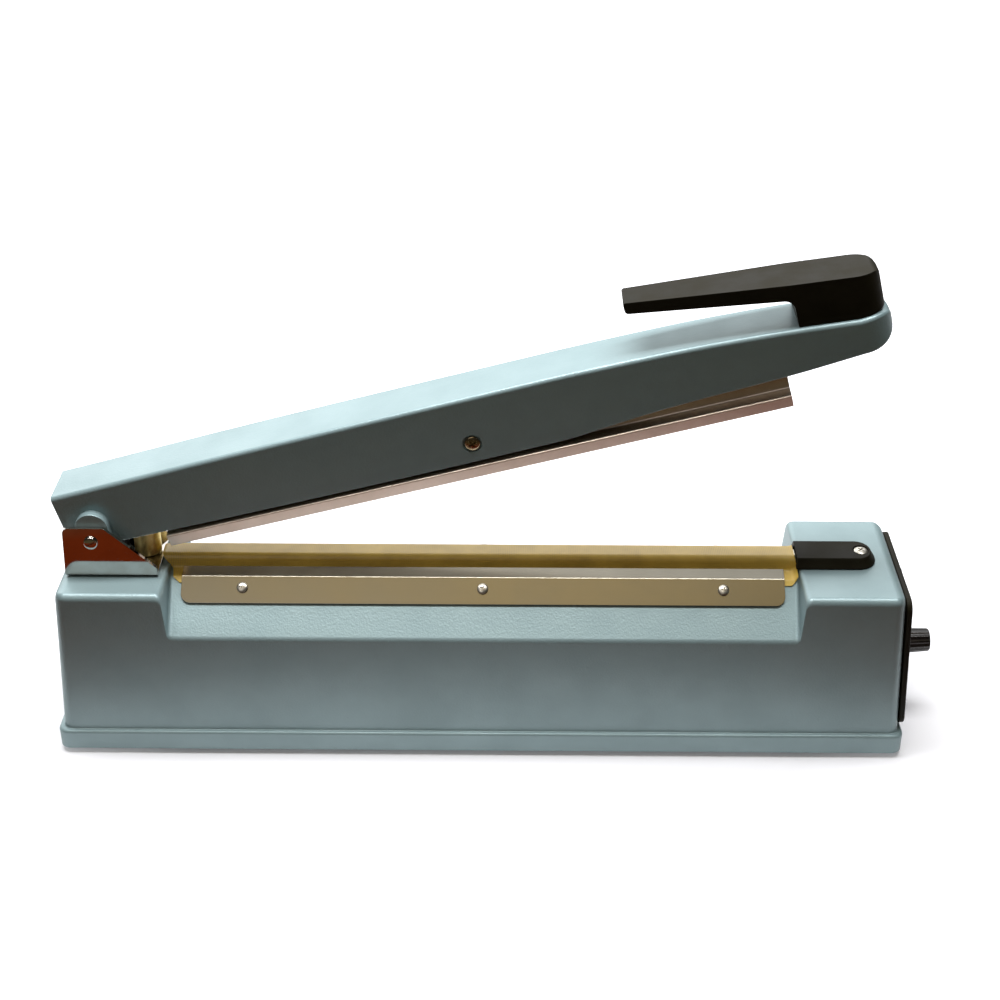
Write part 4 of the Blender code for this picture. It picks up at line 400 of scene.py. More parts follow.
@dataclass(frozen=True)
class Finish:
    """One finish: what the material is, and how its surface was made. Sizes of its pattern are in millimetres."""

    name: str
    slot: str
    surface: Surface
    colour: str
    shade: str
    grain: float
    relief: float
    roughness: float
    uneven: float = 0.08
    patch: float = 18.0
    metallic: float = 0.0
    coat: float = 0.0
    coat_roughness: float = 0.1
    transmission: float = 0.0
    turn: float = 0.0
    ior: float = 1.5

    def pattern(self, tree: NodeTree) -> tuple[NodeOrSocket, NodeOrSocket]:
        """Builds the relief and the colour variation.

        Args:
            tree: The material's tree.

        Returns:
            The relief's height from 0 to 1, and the share of the shade colour.
        """
        source = add_node(tree, "ShaderNodeTexCoord").outputs
        weave = self.surface is Surface.WOVEN
        scale = 1.0 if weave else 1000.0
        placed = {"Vector": source["UV" if weave else "Object"], "Rotation": (0, self.turn, 0), "Scale": (scale,) * 3}
        mm = add_node(tree, "ShaderNodeMapping", placed)
        speckle = {"Vector": mm, "Scale": 1 / self.patch, "Detail": 3.0, "Roughness": 0.55}
        patches = add_node(tree, "ShaderNodeTexNoise", speckle)
        if self.surface is Surface.HAMMERED:
            # Shallow dimples of two sizes, run together as the enamel flowed
            dimples = {"Vector": mm, "Scale": 1 / self.grain, "Smoothness": 0.9, "Randomness": 1.0}
            cells = add_node(tree, "ShaderNodeTexVoronoi", dimples, feature="SMOOTH_F1")
            flow = {"Vector": mm, "Scale": 0.55 / self.grain, "Detail": 2.5}
            ripple = add_node(tree, "ShaderNodeTexNoise", flow)
            height = add_node(tree, "ShaderNodeMath", {0: cells, 1: ripple}, operation="ADD")
        elif self.surface is Surface.BRUSHED:
            stretch = (0.02 / self.grain, 1 / self.grain, 1 / self.grain)
            lines = add_node(tree, "ShaderNodeMapping", {"Vector": mm, "Scale": stretch})
            height = add_node(tree, "ShaderNodeTexNoise", {"Vector": lines, "Scale": 1.0, "Detail": 5.0})
        elif self.surface is Surface.WOVEN:
            thread = {"Vector": mm, "Scale": 0.314 / self.grain, "Distortion": 0.6, "Detail": 1.0, "Detail Scale": 0.4}
            threads = [add_node(tree, "ShaderNodeTexWave", thread, bands_direction=axis) for axis in ("X", "Y")]
            crossed = {index: wave.outputs["Fac"] for index, wave in enumerate(threads)}
            height = add_node(tree, "ShaderNodeMath", crossed, operation="MULTIPLY")
        elif self.surface in (Surface.LAMINATED, Surface.WOUND):
            layers = {"Vector": mm, "Scale": 0.314 / self.grain, "Distortion": 0.3}
            axis = "Y" if self.surface is Surface.LAMINATED else "Z"
            height = add_node(tree, "ShaderNodeTexWave", layers, bands_direction=axis).outputs["Fac"]
        else:
            sparks = {"Vector": mm, "Scale": 1 / self.grain, "Detail": 3.0, "Roughness": 0.6}
            height = add_node(tree, "ShaderNodeTexNoise", sparks)
        share = add_node(tree, "ShaderNodeMapRange", {"Value": patches, "From Min": 0.35, "From Max": 0.65})
        # Low places of the relief take more of the shade colour: dark joints between the stampings, the tone of the
        # brushing's grain, and painted shade in the low places of the weave and between the turns of wire
        if self.surface in (Surface.WOVEN, Surface.LAMINATED, Surface.WOUND, Surface.BRUSHED):
            joint_and_groove_shade = add_node(tree, "ShaderNodeMath", {0: 1.0, 1: height}, operation="SUBTRACT")
            share = add_node(tree, "ShaderNodeMath", {0: share, 1: joint_and_groove_shade}, operation="MULTIPLY")
        return height, share

    def material(self) -> Material:
        """The finished material, made on first use."""
        found = bpy.data.materials.get(self.name)
        if found:
            return found
        material = bpy.data.materials.new(self.name)
        material.use_nodes = True
        tree = material.node_tree
        tree.nodes.clear()
        height, share = self.pattern(tree)
        colours = {"Factor": share, 6: srgb(self.colour), 7: srgb(self.shade)}
        tint = add_node(tree, "ShaderNodeMix", colours, data_type="RGBA")
        least, most = max(self.roughness - self.uneven, 0.02), min(self.roughness + self.uneven, 1.0)
        gloss = add_node(tree, "ShaderNodeMapRange", {"Value": share, "To Min": least, "To Max": most})
        relief = {"Height": height, "Strength": 1.0, "Distance": self.relief / 1000}
        values = {
            "Base Color": tint.outputs[2],
            "Roughness": gloss,
            "Normal": add_node(tree, "ShaderNodeBump", relief),
            "Metallic": self.metallic,
            "Coat Weight": self.coat,
            "Coat Roughness": self.coat_roughness,
            "Transmission Weight": self.transmission,
            "IOR": self.ior,
        }
        shader = add_node(tree, "ShaderNodeBsdfPrincipled", values)
        add_node(tree, "ShaderNodeOutputMaterial", {"Surface": shader})
        return material


# Blue-grey stoved enamel over the castings: a satin, metallic skin with a thin gloss over its orange peel
ENAMEL = Finish(
    "stoved_enamel", "hammer_enamel", Surface.HAMMERED, "#8DA3A7", "#889EA2",
    grain=0.9, relief=0.055, roughness=0.44, uneven=0.03, patch=26, metallic=0.3, coat=0.15, coat_roughness=0.12,
)
# Moulded ABS with a fine spark texture: satin black that shows a little dust and handling
BLACK_ABS = Finish(
    "black_abs", "black_plastic", Surface.MOULDED, "#1A170D", "#211E13",
    grain=0.35, relief=0.012, roughness=0.5, uneven=0.06, patch=14, ior=1.22,
)
# Phenolic knob, polished by fingers
KNOB_PHENOLIC = Finish(
    "black_phenolic", "black_plastic", Surface.MOULDED, "#0F0D0C", "#1A1512",
    grain=0.6, relief=0.004, roughness=0.24, uneven=0.06, patch=9,
)
# Grey nylon of the plunger and the terminals: plain and satin
GREY_NYLON = Finish(
    "grey_nylon", "grey_plastic", Surface.MOULDED, "#56575A", "#4B4C50", grain=0.4, relief=0.01, roughness=0.5
)
# Clear red lens of the pilot lamp: glossy, and a little light goes through it
RED_LENS = Finish(
    "ruby_lens", "red_lens", Surface.MOULDED, "#B4120C", "#8E0D08",
    grain=0.8, relief=0.004, roughness=0.16, uneven=0.04, transmission=0.35,
)
# Natural rubber feet: matt, slightly dusty
RUBBER = Finish(
    "foot_rubber", "rubber", Surface.MOULDED, "#1D1C1B", "#2A2826", grain=0.5, relief=0.02, roughness=0.78
)
# Bright chrome on bent steel: a mirror with the faint ripple of the rolled sheet
CHROME = Finish(
    "bright_chrome", "chrome", Surface.PLATED, "#D8D4D0", "#C9C2BC",
    grain=5.0, relief=0.006, roughness=0.06, uneven=0.03, patch=12, metallic=1.0,
)
# Rolled stainless sheet, brushed along its length
STAINLESS = Finish(
    "brushed_stainless", "stainless", Surface.BRUSHED, "#B5B0A2", "#A8A395",
    grain=0.12, relief=0.002, roughness=0.2, uneven=0.03, patch=30, metallic=1.0,
)
# Nickel-plated screw heads, bright with dull recesses
NICKEL_STEEL = Finish(
    "nickel_steel", "zinc_steel", Surface.PLATED, "#E4E0D6", "#CFCABE",
    grain=0.6, relief=0.004, roughness=0.34, uneven=0.06, patch=4, metallic=1.0,
)
# Yellow-passivated zinc of the pivot screw: brassy, with darker blooms
YELLOW_ZINC = Finish(
    "yellow_zinc", "zinc_steel", Surface.PLATED, "#B9A98C", "#9C8A69",
    grain=0.6, relief=0.004, roughness=0.26, uneven=0.1, patch=3, metallic=1.0,
)
# Zinc-plated steel of the nuts, small screws and spring: grey, with the patches of the plating bath
ZINC_STEEL = Finish(
    "zinc_plated_steel", "zinc_steel", Surface.PLATED, "#C4C3BE", "#A8A69F",
    grain=0.7, relief=0.004, roughness=0.3, uneven=0.1, patch=6, metallic=1.0,
)
# Extruded aluminium, drawn along the arm. Its pale warm cream colour is a painted reflection, which makes a soft, pale
# band under the dark arm
CREAM_REFLECTION_ALUMINIUM = Finish(
    "drawn_aluminium", "aluminium", Surface.BRUSHED, "#EFDFD0", "#E2D0C0",
    grain=0.16, relief=0.002, roughness=0.4, uneven=0.03, patch=24, metallic=1.0, turn=-OPEN_ANGLE,
)
# Drawn aluminium of the bar under the cloth
BAR_ALUMINIUM = Finish(
    "bar_aluminium", "aluminium", Surface.BRUSHED, "#C9C6C0", "#B1ADA6",
    grain=0.16, relief=0.004, roughness=0.35, uneven=0.07, patch=24, metallic=1.0,
)
# Drawn brass, a little tarnished
BRASS = Finish(
    "drawn_brass", "brass", Surface.PLATED, "#FCEBA6", "#DCC274",
    grain=1.2, relief=0.006, roughness=0.45, patch=5, metallic=1.0,
)
# Enamelled copper of the transformer's winding, turn by turn
COPPER = Finish(
    "enamelled_copper", "copper", Surface.WOUND, "#B8693D", "#6F3A20",
    grain=0.6, relief=0.1, roughness=0.35, patch=20, metallic=0.9,
)
# Stacked stampings of the transformer's core: dull steel with dark joints
CORE_STEEL = Finish(
    "core_laminations", "laminated_steel", Surface.LAMINATED, "#6E6F72", "#3E3F42",
    grain=0.7, relief=0.06, roughness=0.5, uneven=0.1, patch=20, metallic=1.0,
)
# Fluoropolymer-coated glass cloth: translucent tan with a waxy gloss over its weave
SEAL_CLOTH = Finish(
    "ptfe_glass_cloth", "ptfe_cloth", Surface.WOVEN, "#EFCB5E", "#CFAD4E",
    grain=0.9, relief=0.012, roughness=0.36, uneven=0.03, patch=22, coat=0.3, coat_roughness=0.25,
)
# Adhesive glass tape along the bar: pale and matt
GLASS_TAPE = Finish(
    "glass_cloth_tape", "glass_tape", Surface.MOULDED, "#DCD8C8", "#C9C3AE", grain=0.5, relief=0.03, roughness=0.7
)
# Extruded silicone rubber, soft and slightly chalky
SILICONE = Finish(
    "silicone_rubber", "silicone", Surface.MOULDED, "#A9A6A0", "#98948D",
    grain=0.5, relief=0.01, roughness=0.55, uneven=0.06,
)
# Solder-masked circuit board: glossy green
BOARD_GREEN = Finish(
    "circuit_board", "circuit_green", Surface.MOULDED, "#1F6B43", "#185536", grain=0.7, relief=0.01, roughness=0.4
)


# Node trees that make meshes


def open_tree(name: str, inputs: dict[str, str]) -> tuple[NodeTree, NodeOutputs]:
    """Starts a geometry tree.

    Args:
        name: The tree's name.
        inputs: The kind of each input, by its name.

    Returns:
        The tree, and the sockets that its inputs come in by.
    """
    tree = bpy.data.node_groups.new(name, "GeometryNodeTree")
    for label, kind in inputs.items():
        tree.interface.new_socket(name=label, in_out="INPUT", socket_type=f"NodeSocket{kind}")
    tree.interface.new_socket(name="Result", in_out="OUTPUT", socket_type="NodeSocketGeometry")
    return tree, add_node(tree, "NodeGroupInput").outputs


def close_tree(tree: NodeTree, made: Node, finish: NodeSocket) -> None:
    """Ends a geometry tree: what it made becomes one mesh and gets its material."""
    solid = add_node(tree, "GeometryNodeRealizeInstances", {"Geometry": made})
    dressed = add_node(tree, "GeometryNodeSetMaterial", {"Geometry": solid, "Material": finish})
    add_node(tree, "NodeGroupOutput", {"Result": dressed})


def run_tree(obj: Object, tree: NodeTree, values: dict[str, object]) -> None:
    """Runs a tree on an object, with its inputs set by their identifiers, and keeps the mesh that it makes."""
    modifier = obj.modifiers.new("nodes", "NODES")
    modifier.node_group = tree
    for item in tree.interface.items_tree:
        if item.in_out == "INPUT" and item.name in values:
            modifier[item.identifier] = values[item.name]
    freeze(obj)


# Finishing a piece


def shade(obj: Object, weighted: bool = True) -> None:
    """Shades an object smooth across its fillets, sharp at its edges, and level on its flat faces."""
    obj.data.shade_smooth()
    obj.data.set_sharp_from_angle(angle=SMOOTH_ANGLE)
    if weighted:
        modifier = obj.modifiers.new("level", "WEIGHTED_NORMAL")
        modifier.keep_sharp = True
        modifier.weight = 80
        freeze(obj)


def place_piece(obj: Object, body: str, finish: Finish, *nodes: str, weighted: bool = True) -> Object:
    """Dresses a finished piece, puts it on its body and hides the solids that it stands for.

    Args:
        obj: The piece, with its place in its mesh.
        body: The body that carries it.
        finish: Its finish.
        nodes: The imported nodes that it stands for.
        weighted: Whether its flat faces are kept level in the shading.

    Returns:
        The piece.
    """
    obj.data.materials.clear()
    obj.data.materials.append(finish.material())
    shade(obj, weighted)
    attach(obj, body)
    if nodes:
        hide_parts(*nodes)
    LOG.info("%s on %s: %d faces, %s", obj.name, body, len(obj.data.polygons), finish.name)
    return obj


def refined(name: str, node: str, width: float) -> Object:
    """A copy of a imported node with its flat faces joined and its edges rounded.

    Args:
        name: The new object's name.
        node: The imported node.
        width: The edges' bevel.

    Returns:
        The new object.
    """
    bm = bmesh.new()
    bm.from_mesh(bpy.data.objects[node].data)
    bmesh.ops.remove_doubles(bm, verts=bm.verts, dist=MERGE)
    bmesh.ops.dissolve_limit(bm, angle_limit=FLAT_ANGLE, verts=bm.verts, edges=bm.edges)
    obj = mesh_object(name, bm)
    soften(obj, width, segments=2)
    return obj


# Housing


@dataclass
class Housing:
    """The cast, enamelled housing: flange, leaning walls, two towers and the sloping saddle between them."""

    length: float = 0.4286
    width: float = 0.0886
    height: float = 0.0892
    wall: float = 0.003
    corner: float = 0.0036
    plan_corner: float = 0.0055
    inner_corner: float = 0.0012
    flange_height: float = 0.0109
    ledge: float = 0.0025
    flange_fillet: float = 0.0015
    cove: float = 0.0007
    draft_share: float = 0.05
    left_step: float = -0.155245
    right_step: float = 0.158845
    step_edge: float = 0.0035
    step_foot: float = 0.0028
    saddle_edge: float = 0.0651
    saddle_fillet: float = 0.0035
    shoulder_width: float = 0.0277
    shoulder_height: float = 0.08465
    crest_width: float = 0.015
    crest_height: float = 0.0866
    boss: float = 0.005
    boss_foot: float = 0.0055
    shaft_bore: float = 0.0038
    lamp_bore: float = 0.0039
    steps: int = 7

    def half_width(self, height: float, inset: float = 0) -> float:
        """Half the width between the leaning walls at a height, less an inset."""
        return self.width / 2 - self.ledge - self.draft_share * (height - self.flange_height) - inset

    def saddle_line(self, inset: float) -> tuple[Vector, Vector, Vector]:
        """The saddle's corners from the wall up to the middle, lowered to leave a wall of the inset."""
        edge_y = self.half_width(self.saddle_edge)
        slope = (self.shoulder_height - self.saddle_edge) / (edge_y - self.shoulder_width / 2)
        fall = inset * math.hypot(1, slope)
        shoulder = Vector((self.shoulder_width / 2, self.shoulder_height - fall))
        crest = Vector((self.crest_width / 2, self.crest_height - fall))
        level = shoulder.y + slope * shoulder.x
        edge_z = (level - slope * self.half_width(0, inset)) / (1 - slope * self.draft_share)
        return Vector((self.half_width(edge_z, inset), edge_z)), shoulder, crest

    def foot_points(self, inset: float, trim: float) -> list[Spot]:
        """The flange and the foot of the side wall as (y, z, set back from the flange's end)."""
        half = self.width / 2 - trim
        if inset:
            low = -self.wall
            back = self.width / 2 - self.half_width(low, inset)
            return [(self.half_width(low, inset) - trim, low, back)]
        points = [(half - self.cove / 2, 0, self.cove / 2), (half, self.cove / 2, 0)]
        for angle in quarter(self.steps):
            back = self.flange_fillet * (1 - math.cos(angle))
            points.append((half - back, self.flange_height - self.flange_fillet * (1 - math.sin(angle)), back))
        for angle in quarter(self.steps):
            back = self.ledge - self.cove * (1 - math.sin(angle))
            points.append((half - back, self.flange_height + self.cove * (1 - math.cos(angle)), back))
        return points

    def tower_half(self, inset: float, trim: float, drop: float) -> list[Spot]:
        """Half a cross-section through a tower, from the flange to the middle of its top.

        Args:
            inset: The wall left round the hollow, or nothing for the outside.
            trim: How much narrower the section is, where it rounds into the end wall.
            drop: How much lower its top is there.

        Returns:
            The points (y, z, set back from the flange's end).
        """
        radius = self.inner_corner if inset else self.corner
        top = self.height - inset
        spring_y = self.half_width(top - radius, inset)
        back = self.width / 2 - spring_y
        points = self.foot_points(inset, trim)
        for angle in quarter(self.steps):
            y = spring_y - trim - radius + radius * math.cos(angle)
            points.append((y, top - drop - radius + radius * math.sin(angle), back))
        points += [(corner.x, top - drop, back) for corner in self.saddle_line(inset)[1:]]
        return points + [(0, top - drop, back)]

    def saddle_half(self, inset: float) -> list[Spot]:
        """Half a cross-section through the saddle, point for point like a tower's."""
        edge, shoulder, crest = self.saddle_line(inset)
        below = Vector((self.half_width(0, inset), 0))
        points = self.foot_points(inset, 0)
        points += [(p.x, p.y, 0) for p in corner_arc(below, edge, shoulder, self.saddle_fillet, self.steps)]
        return points + [(shoulder.x, shoulder.y, 0), (crest.x, crest.y, 0), (0, crest.y, 0)]

    @staticmethod
    def ring(half: Sequence[Spot]) -> list[Vector]:
        """A whole cross-section above the floor, from half of it."""
        both = [Vector(p) for p in half] + [Vector((x, -y, z)) for x, y, z in reversed(half[:-1])]
        return [point + Vector((0, 0, FLOOR_GAP)) for point in both]

    def end_rings(self, inset: float, side: int) -> list[list[Vector]]:
        """Cross-sections that round a tower into its end wall, from the end inward."""
        radius = self.inner_corner if inset else self.plan_corner
        lower = self.inner_corner if inset else self.corner
        rings = []
        for angle in quarter(self.steps):
            away = 1 - math.sin(angle)
            section = self.tower_half(inset, radius * away, lower * away)
            reach = self.length / 2 - radius * (1 - math.cos(angle))
            rings.append(self.ring([(side * (reach - back), y, z) for y, z, back in section]))
        return rings

    def step_path(self, drop: float) -> list[Point]:
        """How far in, and what share of the drop, down a tower's inner wall and round its edge and foot."""
        falls = drop > MERGE
        edge = min(self.step_edge, LIMIT_SHARE * drop) if falls else self.step_edge
        foot = min(self.step_foot, LIMIT_SHARE * drop) if falls else self.step_foot
        turns = quarter(self.steps)
        path = [(edge * (math.sin(angle) - 1), edge * (1 - math.cos(angle))) for angle in turns]
        lean = self.draft_share * drop
        path += [(lean + foot * (1 - math.cos(angle)), drop - foot * (1 - math.sin(angle))) for angle in turns]
        return [(inward, fallen / drop if falls else 0) for inward, fallen in path]

    def step_rings(self, inset: float, side: int, edge_x: float) -> list[list[Vector]]:
        """Cross-sections down a tower's inner wall, from the tower to the saddle."""
        tower = self.tower_half(inset, 0, 0)
        saddle = self.saddle_half(inset)
        paths = [self.step_path(high[1] - low[1]) for high, low in zip(tower, saddle)]
        rings = []
        for step in range(len(paths[0])):
            half = []
            for high, low, path in zip(tower, saddle, paths):
                inward, share = path[step]
                y = high[0] + (low[0] - high[0]) * share
                half.append((edge_x - side * inward, y, high[1] + (low[1] - high[1]) * share))
            rings.append(self.ring(half))
        return rings

    def shape(self, inset: float = 0) -> BMesh:
        """The housing's outside, or with an inset the hollow inside it."""
        rings = self.end_rings(inset, -1) + self.step_rings(inset, -1, self.left_step - inset)
        rings += reversed(self.step_rings(inset, 1, self.right_step + inset))
        rings += reversed(self.end_rings(inset, 1))
        bm = bmesh.new()
        loops = add_skin(bm, rings)
        ledges = len(self.foot_points(inset, 0)) - 1
        for loop in (loops[0], loops[-1]):
            add_cap(bm, loop, ledges)
            bm.faces.new(loop[ledges : len(loop) - ledges])
        return bm

    def slope_point(self, run: float, rise: float, side: int) -> Vector:
        """A point on the saddle's slope: how far below the shoulder, and how far off its surface."""
        edge, shoulder, _ = self.saddle_line(0)
        down = (edge - shoulder).normalized()
        place = shoulder + down * run + Vector((-down.y, down.x)) * rise
        return Vector((0, side * place.x, FLOOR_GAP + place.y))

    def slope_turn(self, side: int) -> float:
        """The turn about X that stands a screw square to the slope."""
        outward = self.slope_point(0, self.width, side) - self.slope_point(0, 0, side)
        return math.atan2(-outward.y, outward.z)

    def over_shoulder(self, run: float, reach: float, rise: float) -> list[Vector]:
        """(y, z) down the slope, at the shoulder and up to a reach toward the middle, lifted off the housing."""
        _, shoulder, crest = self.saddle_line(0)
        low = self.slope_point(run, 0, 1)
        high = shoulder + (crest - shoulder).normalized() * reach
        lift = Vector((0, FLOOR_GAP))
        return offset_run([Vector((low.y, low.z)), shoulder + lift, high + lift], -rise)

    def build(self) -> None:
        """Makes the casting, hollow and open below, with bosses for the feet and the bores for the timer's shaft and
        the pilot lamp.
        """
        housing = mesh_object("enamelled_housing", self.shape(), ROOT)
        combine(housing, "DIFFERENCE", self.shape(self.wall), ROOT)
        bosses = bmesh.new()
        for x in (-FOOT_X, FOOT_X):
            for y in (-FOOT_Y, FOOT_Y):
                add_rod(bosses, self.boss, self.boss_foot, TOWER_TOP - self.wall / 2, along_z, (x, y))
        combine(housing, "UNION", bosses, ROOT)
        through = (-self.wall - OVERCUT, 0.001)
        bores = ((self.shaft_bore, KNOB_LIFT), (self.lamp_bore, LAMP_LIFT))
        drill(housing, END_FRAME, along_x, *[(radius, *through, (0, lift)) for radius, lift in bores])
        place_piece(housing, "base", ENAMEL, "base_housing")


# Screws


class Drive(Enum):
    """The recess in a screw's head: half width, reach and depth as shares of the head, and how many bars cross."""

    CROSS = (0.11, 0.58, 0.75, 2)
    SLOT = (0.13, 1.1, 0.5, 1)


@dataclass(frozen=True)
class Screw:
    """A domed machine screw with its head's seat at the origin and its shank down -Z."""

    name: str
    head: float
    height: float
    shank: float
    length: float
    drive: Drive = Drive.CROSS

    def template(self) -> Object:
        """The screw that the set's copies are made from."""
        # Up the shank from its chamfered end, then round the head's rim and its dome
        edge = self.height * 0.42
        profile = [(0.0, -self.length), (self.shank * 0.8, -self.length), (self.shank, -self.length + self.shank * 0.4)]
        profile += [(self.shank, 0.0), (self.head * 0.97, 0.0), (self.head, edge * 0.3), (self.head, edge)]
        for angle in quarter(7)[1:]:
            profile.append((self.head * math.cos(angle), edge + (self.height - edge) * math.sin(angle)))
        bm = bmesh.new()
        add_turned(bm, profile, along_z, 28)
        screw = mesh_object(self.name, bm)
        half, reach, depth, bars = self.drive.value
        for bar in range(bars):
            square = Matrix.Rotation(math.pi / 2 * bar, 3, "Z")
            rings = []
            for share, height in ((0.7, self.height - self.height * depth), (1.0, self.height * 1.2)):
                long, wide = self.head * reach * share, self.head * half * share
                rings.append([square @ Vector((*p, height)) for p in rectangle(-long, long, -wide, wide)])
            combine(screw, "DIFFERENCE", loft(rings))
        return screw


@dataclass(frozen=True)
class ScrewSet:
    """Screws of one kind on one body: where each one's seat is, and how it is turned."""

    name: str
    body: str
    screw: Screw
    seats: tuple[tuple[str, Matrix], ...]
    finish: Finish = ZINC_STEEL
    seed: int = 3

    def tree(self) -> NodeTree:
        """Sets a copy of the screw on each seat, each turned by chance about its own axis.

        Returns:
            The node tree, with inputs Seats, Screw, Seed and Finish.
        """
        kinds = {"Seats": "Geometry", "Screw": "Object", "Seed": "Int", "Finish": "Material"}
        tree, inputs = open_tree(f"{self.name}_set", kinds)
        turn = add_node(tree, "GeometryNodeInputNamedAttribute", {"Name": "turn"}, data_type="FLOAT_VECTOR")
        square = add_node(tree, "FunctionNodeEulerToRotation", {0: turn.outputs["Attribute"]})
        screw = add_node(tree, "GeometryNodeObjectInfo", {"Object": inputs["Screw"]})
        placed = {"Points": inputs["Seats"], "Instance": screw.outputs["Geometry"], "Rotation": square}
        copies = add_node(tree, "GeometryNodeInstanceOnPoints", placed)
        limits = {2: 0.0, 3: math.pi / 2, "Seed": inputs["Seed"]}
        chance = add_node(tree, "FunctionNodeRandomValue", limits, data_type="FLOAT")
        about = add_node(tree, "ShaderNodeCombineXYZ", {"Z": chance.outputs[1]})
        turned = add_node(tree, "GeometryNodeRotateInstances", {"Instances": copies, "Rotation": about})
        close_tree(tree, turned, inputs["Finish"])
        return tree

    def build(self) -> None:
        """Makes the set as one mesh on its body."""
        mesh = bpy.data.meshes.new(self.name)
        mesh.from_pydata([place.translation for _, place in self.seats], [], [])
        turns = mesh.attributes.new("turn", "FLOAT_VECTOR", "POINT")
        for item, (_, place) in zip(turns.data, self.seats):
            item.vector = place.to_euler()
        obj = link(self.name, mesh)
        template = self.screw.template()
        run_tree(obj, self.tree(), {"Screw": template, "Seed": self.seed, "Finish": self.finish.material()})
        bpy.data.objects.remove(template, do_unlink=True)
        place_piece(obj, self.body, self.finish, *[node for node, _ in self.seats])


# Sealing bar


@dataclass
class ClampStrips:
    """The two bent stainless strips that hold the cloth along the saddle's shoulders."""

    housing: Housing
    left: float = -0.1487
    right: float = 0.1513
    thickness: float = 0.0008
    upper: float = 0.0062
    lower: float = 0.0136
    lift: float = 0.001
    low_lift: float = 0.0004
    bend: float = 0.0007
    corner: float = 0.005
    edge: float = 0.00014
    screw_drop: float = 0.0057
    screw_inset: float = 0.0305
    hole: float = 0.0018

    def section(self) -> list[Vector]:
        """The under side of the sheet in (y, z), from the free lower edge up round the bend."""
        _, bend, high = self.housing.over_shoulder(self.lower, self.upper, self.lift)
        low = self.housing.over_shoulder(self.lower, self.upper, self.low_lift)[0]
        return filleted_run([(*low, 0), (*bend, self.bend), (*high, 0)], 8)

    def strip(self, side: int) -> Object:
        """One strip, bent from the sheet, with its lower corners rounded."""
        run = self.section()
        starts = [0.0]
        for first, second in zip(run, run[1:]):
            starts.append(starts[-1] + (second - first).length)
        arcs = [self.corner * (1 - math.cos(angle)) for angle in quarter(8)]
        rings = []
        outside = offset_run(run, -self.thickness)
        for travelled in sorted({*arcs, *starts}):
            index = max(i for i, start in enumerate(starts[:-1]) if start <= travelled)
            share = (travelled - starts[index]) / (starts[index + 1] - starts[index])
            under = run[index].lerp(run[index + 1], share)
            over = outside[index].lerp(outside[index + 1], share)
            away = max(self.corner - travelled, 0)
            back = self.corner - math.sqrt(self.corner**2 - away**2)
            ring = [(self.left + back, under), (self.right - back, under), (self.right - back, over)]
            ring.append((self.left + back, over))
            rings.append([Vector((x, -side * p.x, p.y)) for x, p in ring])
        return mesh_object(f"stainless_strip_{'front' if side > 0 else 'rear'}", loft(rings), ROOT)

    def seats(self, side: int) -> list[Matrix]:
        """Where the screws of one strip sit, from left to right."""
        point = self.housing.slope_point(self.screw_drop, self.lift + self.thickness, side)
        middle = (self.left + self.right) / 2
        reach = (self.right - self.left) / 2 - self.screw_inset
        turn = Matrix.Rotation(self.housing.slope_turn(side), 4, "X")
        return [ROOT @ Matrix.Translation((middle + step * reach, point.y, point.z)) @ turn for step in (-1, 0, 1)]

    def build(self) -> None:
        """Makes both strips and their six screws."""
        named = []
        for name, side in (("front", -1), ("rear", 1)):
            strip = self.strip(-side)
            soften(strip, self.edge, segments=2, angle=60)
            seats = self.seats(side)
            for seat in seats:
                drill(strip, seat, along_z, (self.hole, -0.004, 0.004, (0, 0)))
            place_piece(strip, "base", STAINLESS, f"clamp_strip_{name}")
            named += [(f"clamp_screw_{name}_{where}", seat) for where, seat in zip(("left", "middle", "right"), seats)]
        screw = Screw("clamp_screw", head=0.0027, height=0.0014, shank=0.0015, length=0.007)
        ScrewSet("clamp_screws", "base", screw, tuple(named), NICKEL_STEEL).build()


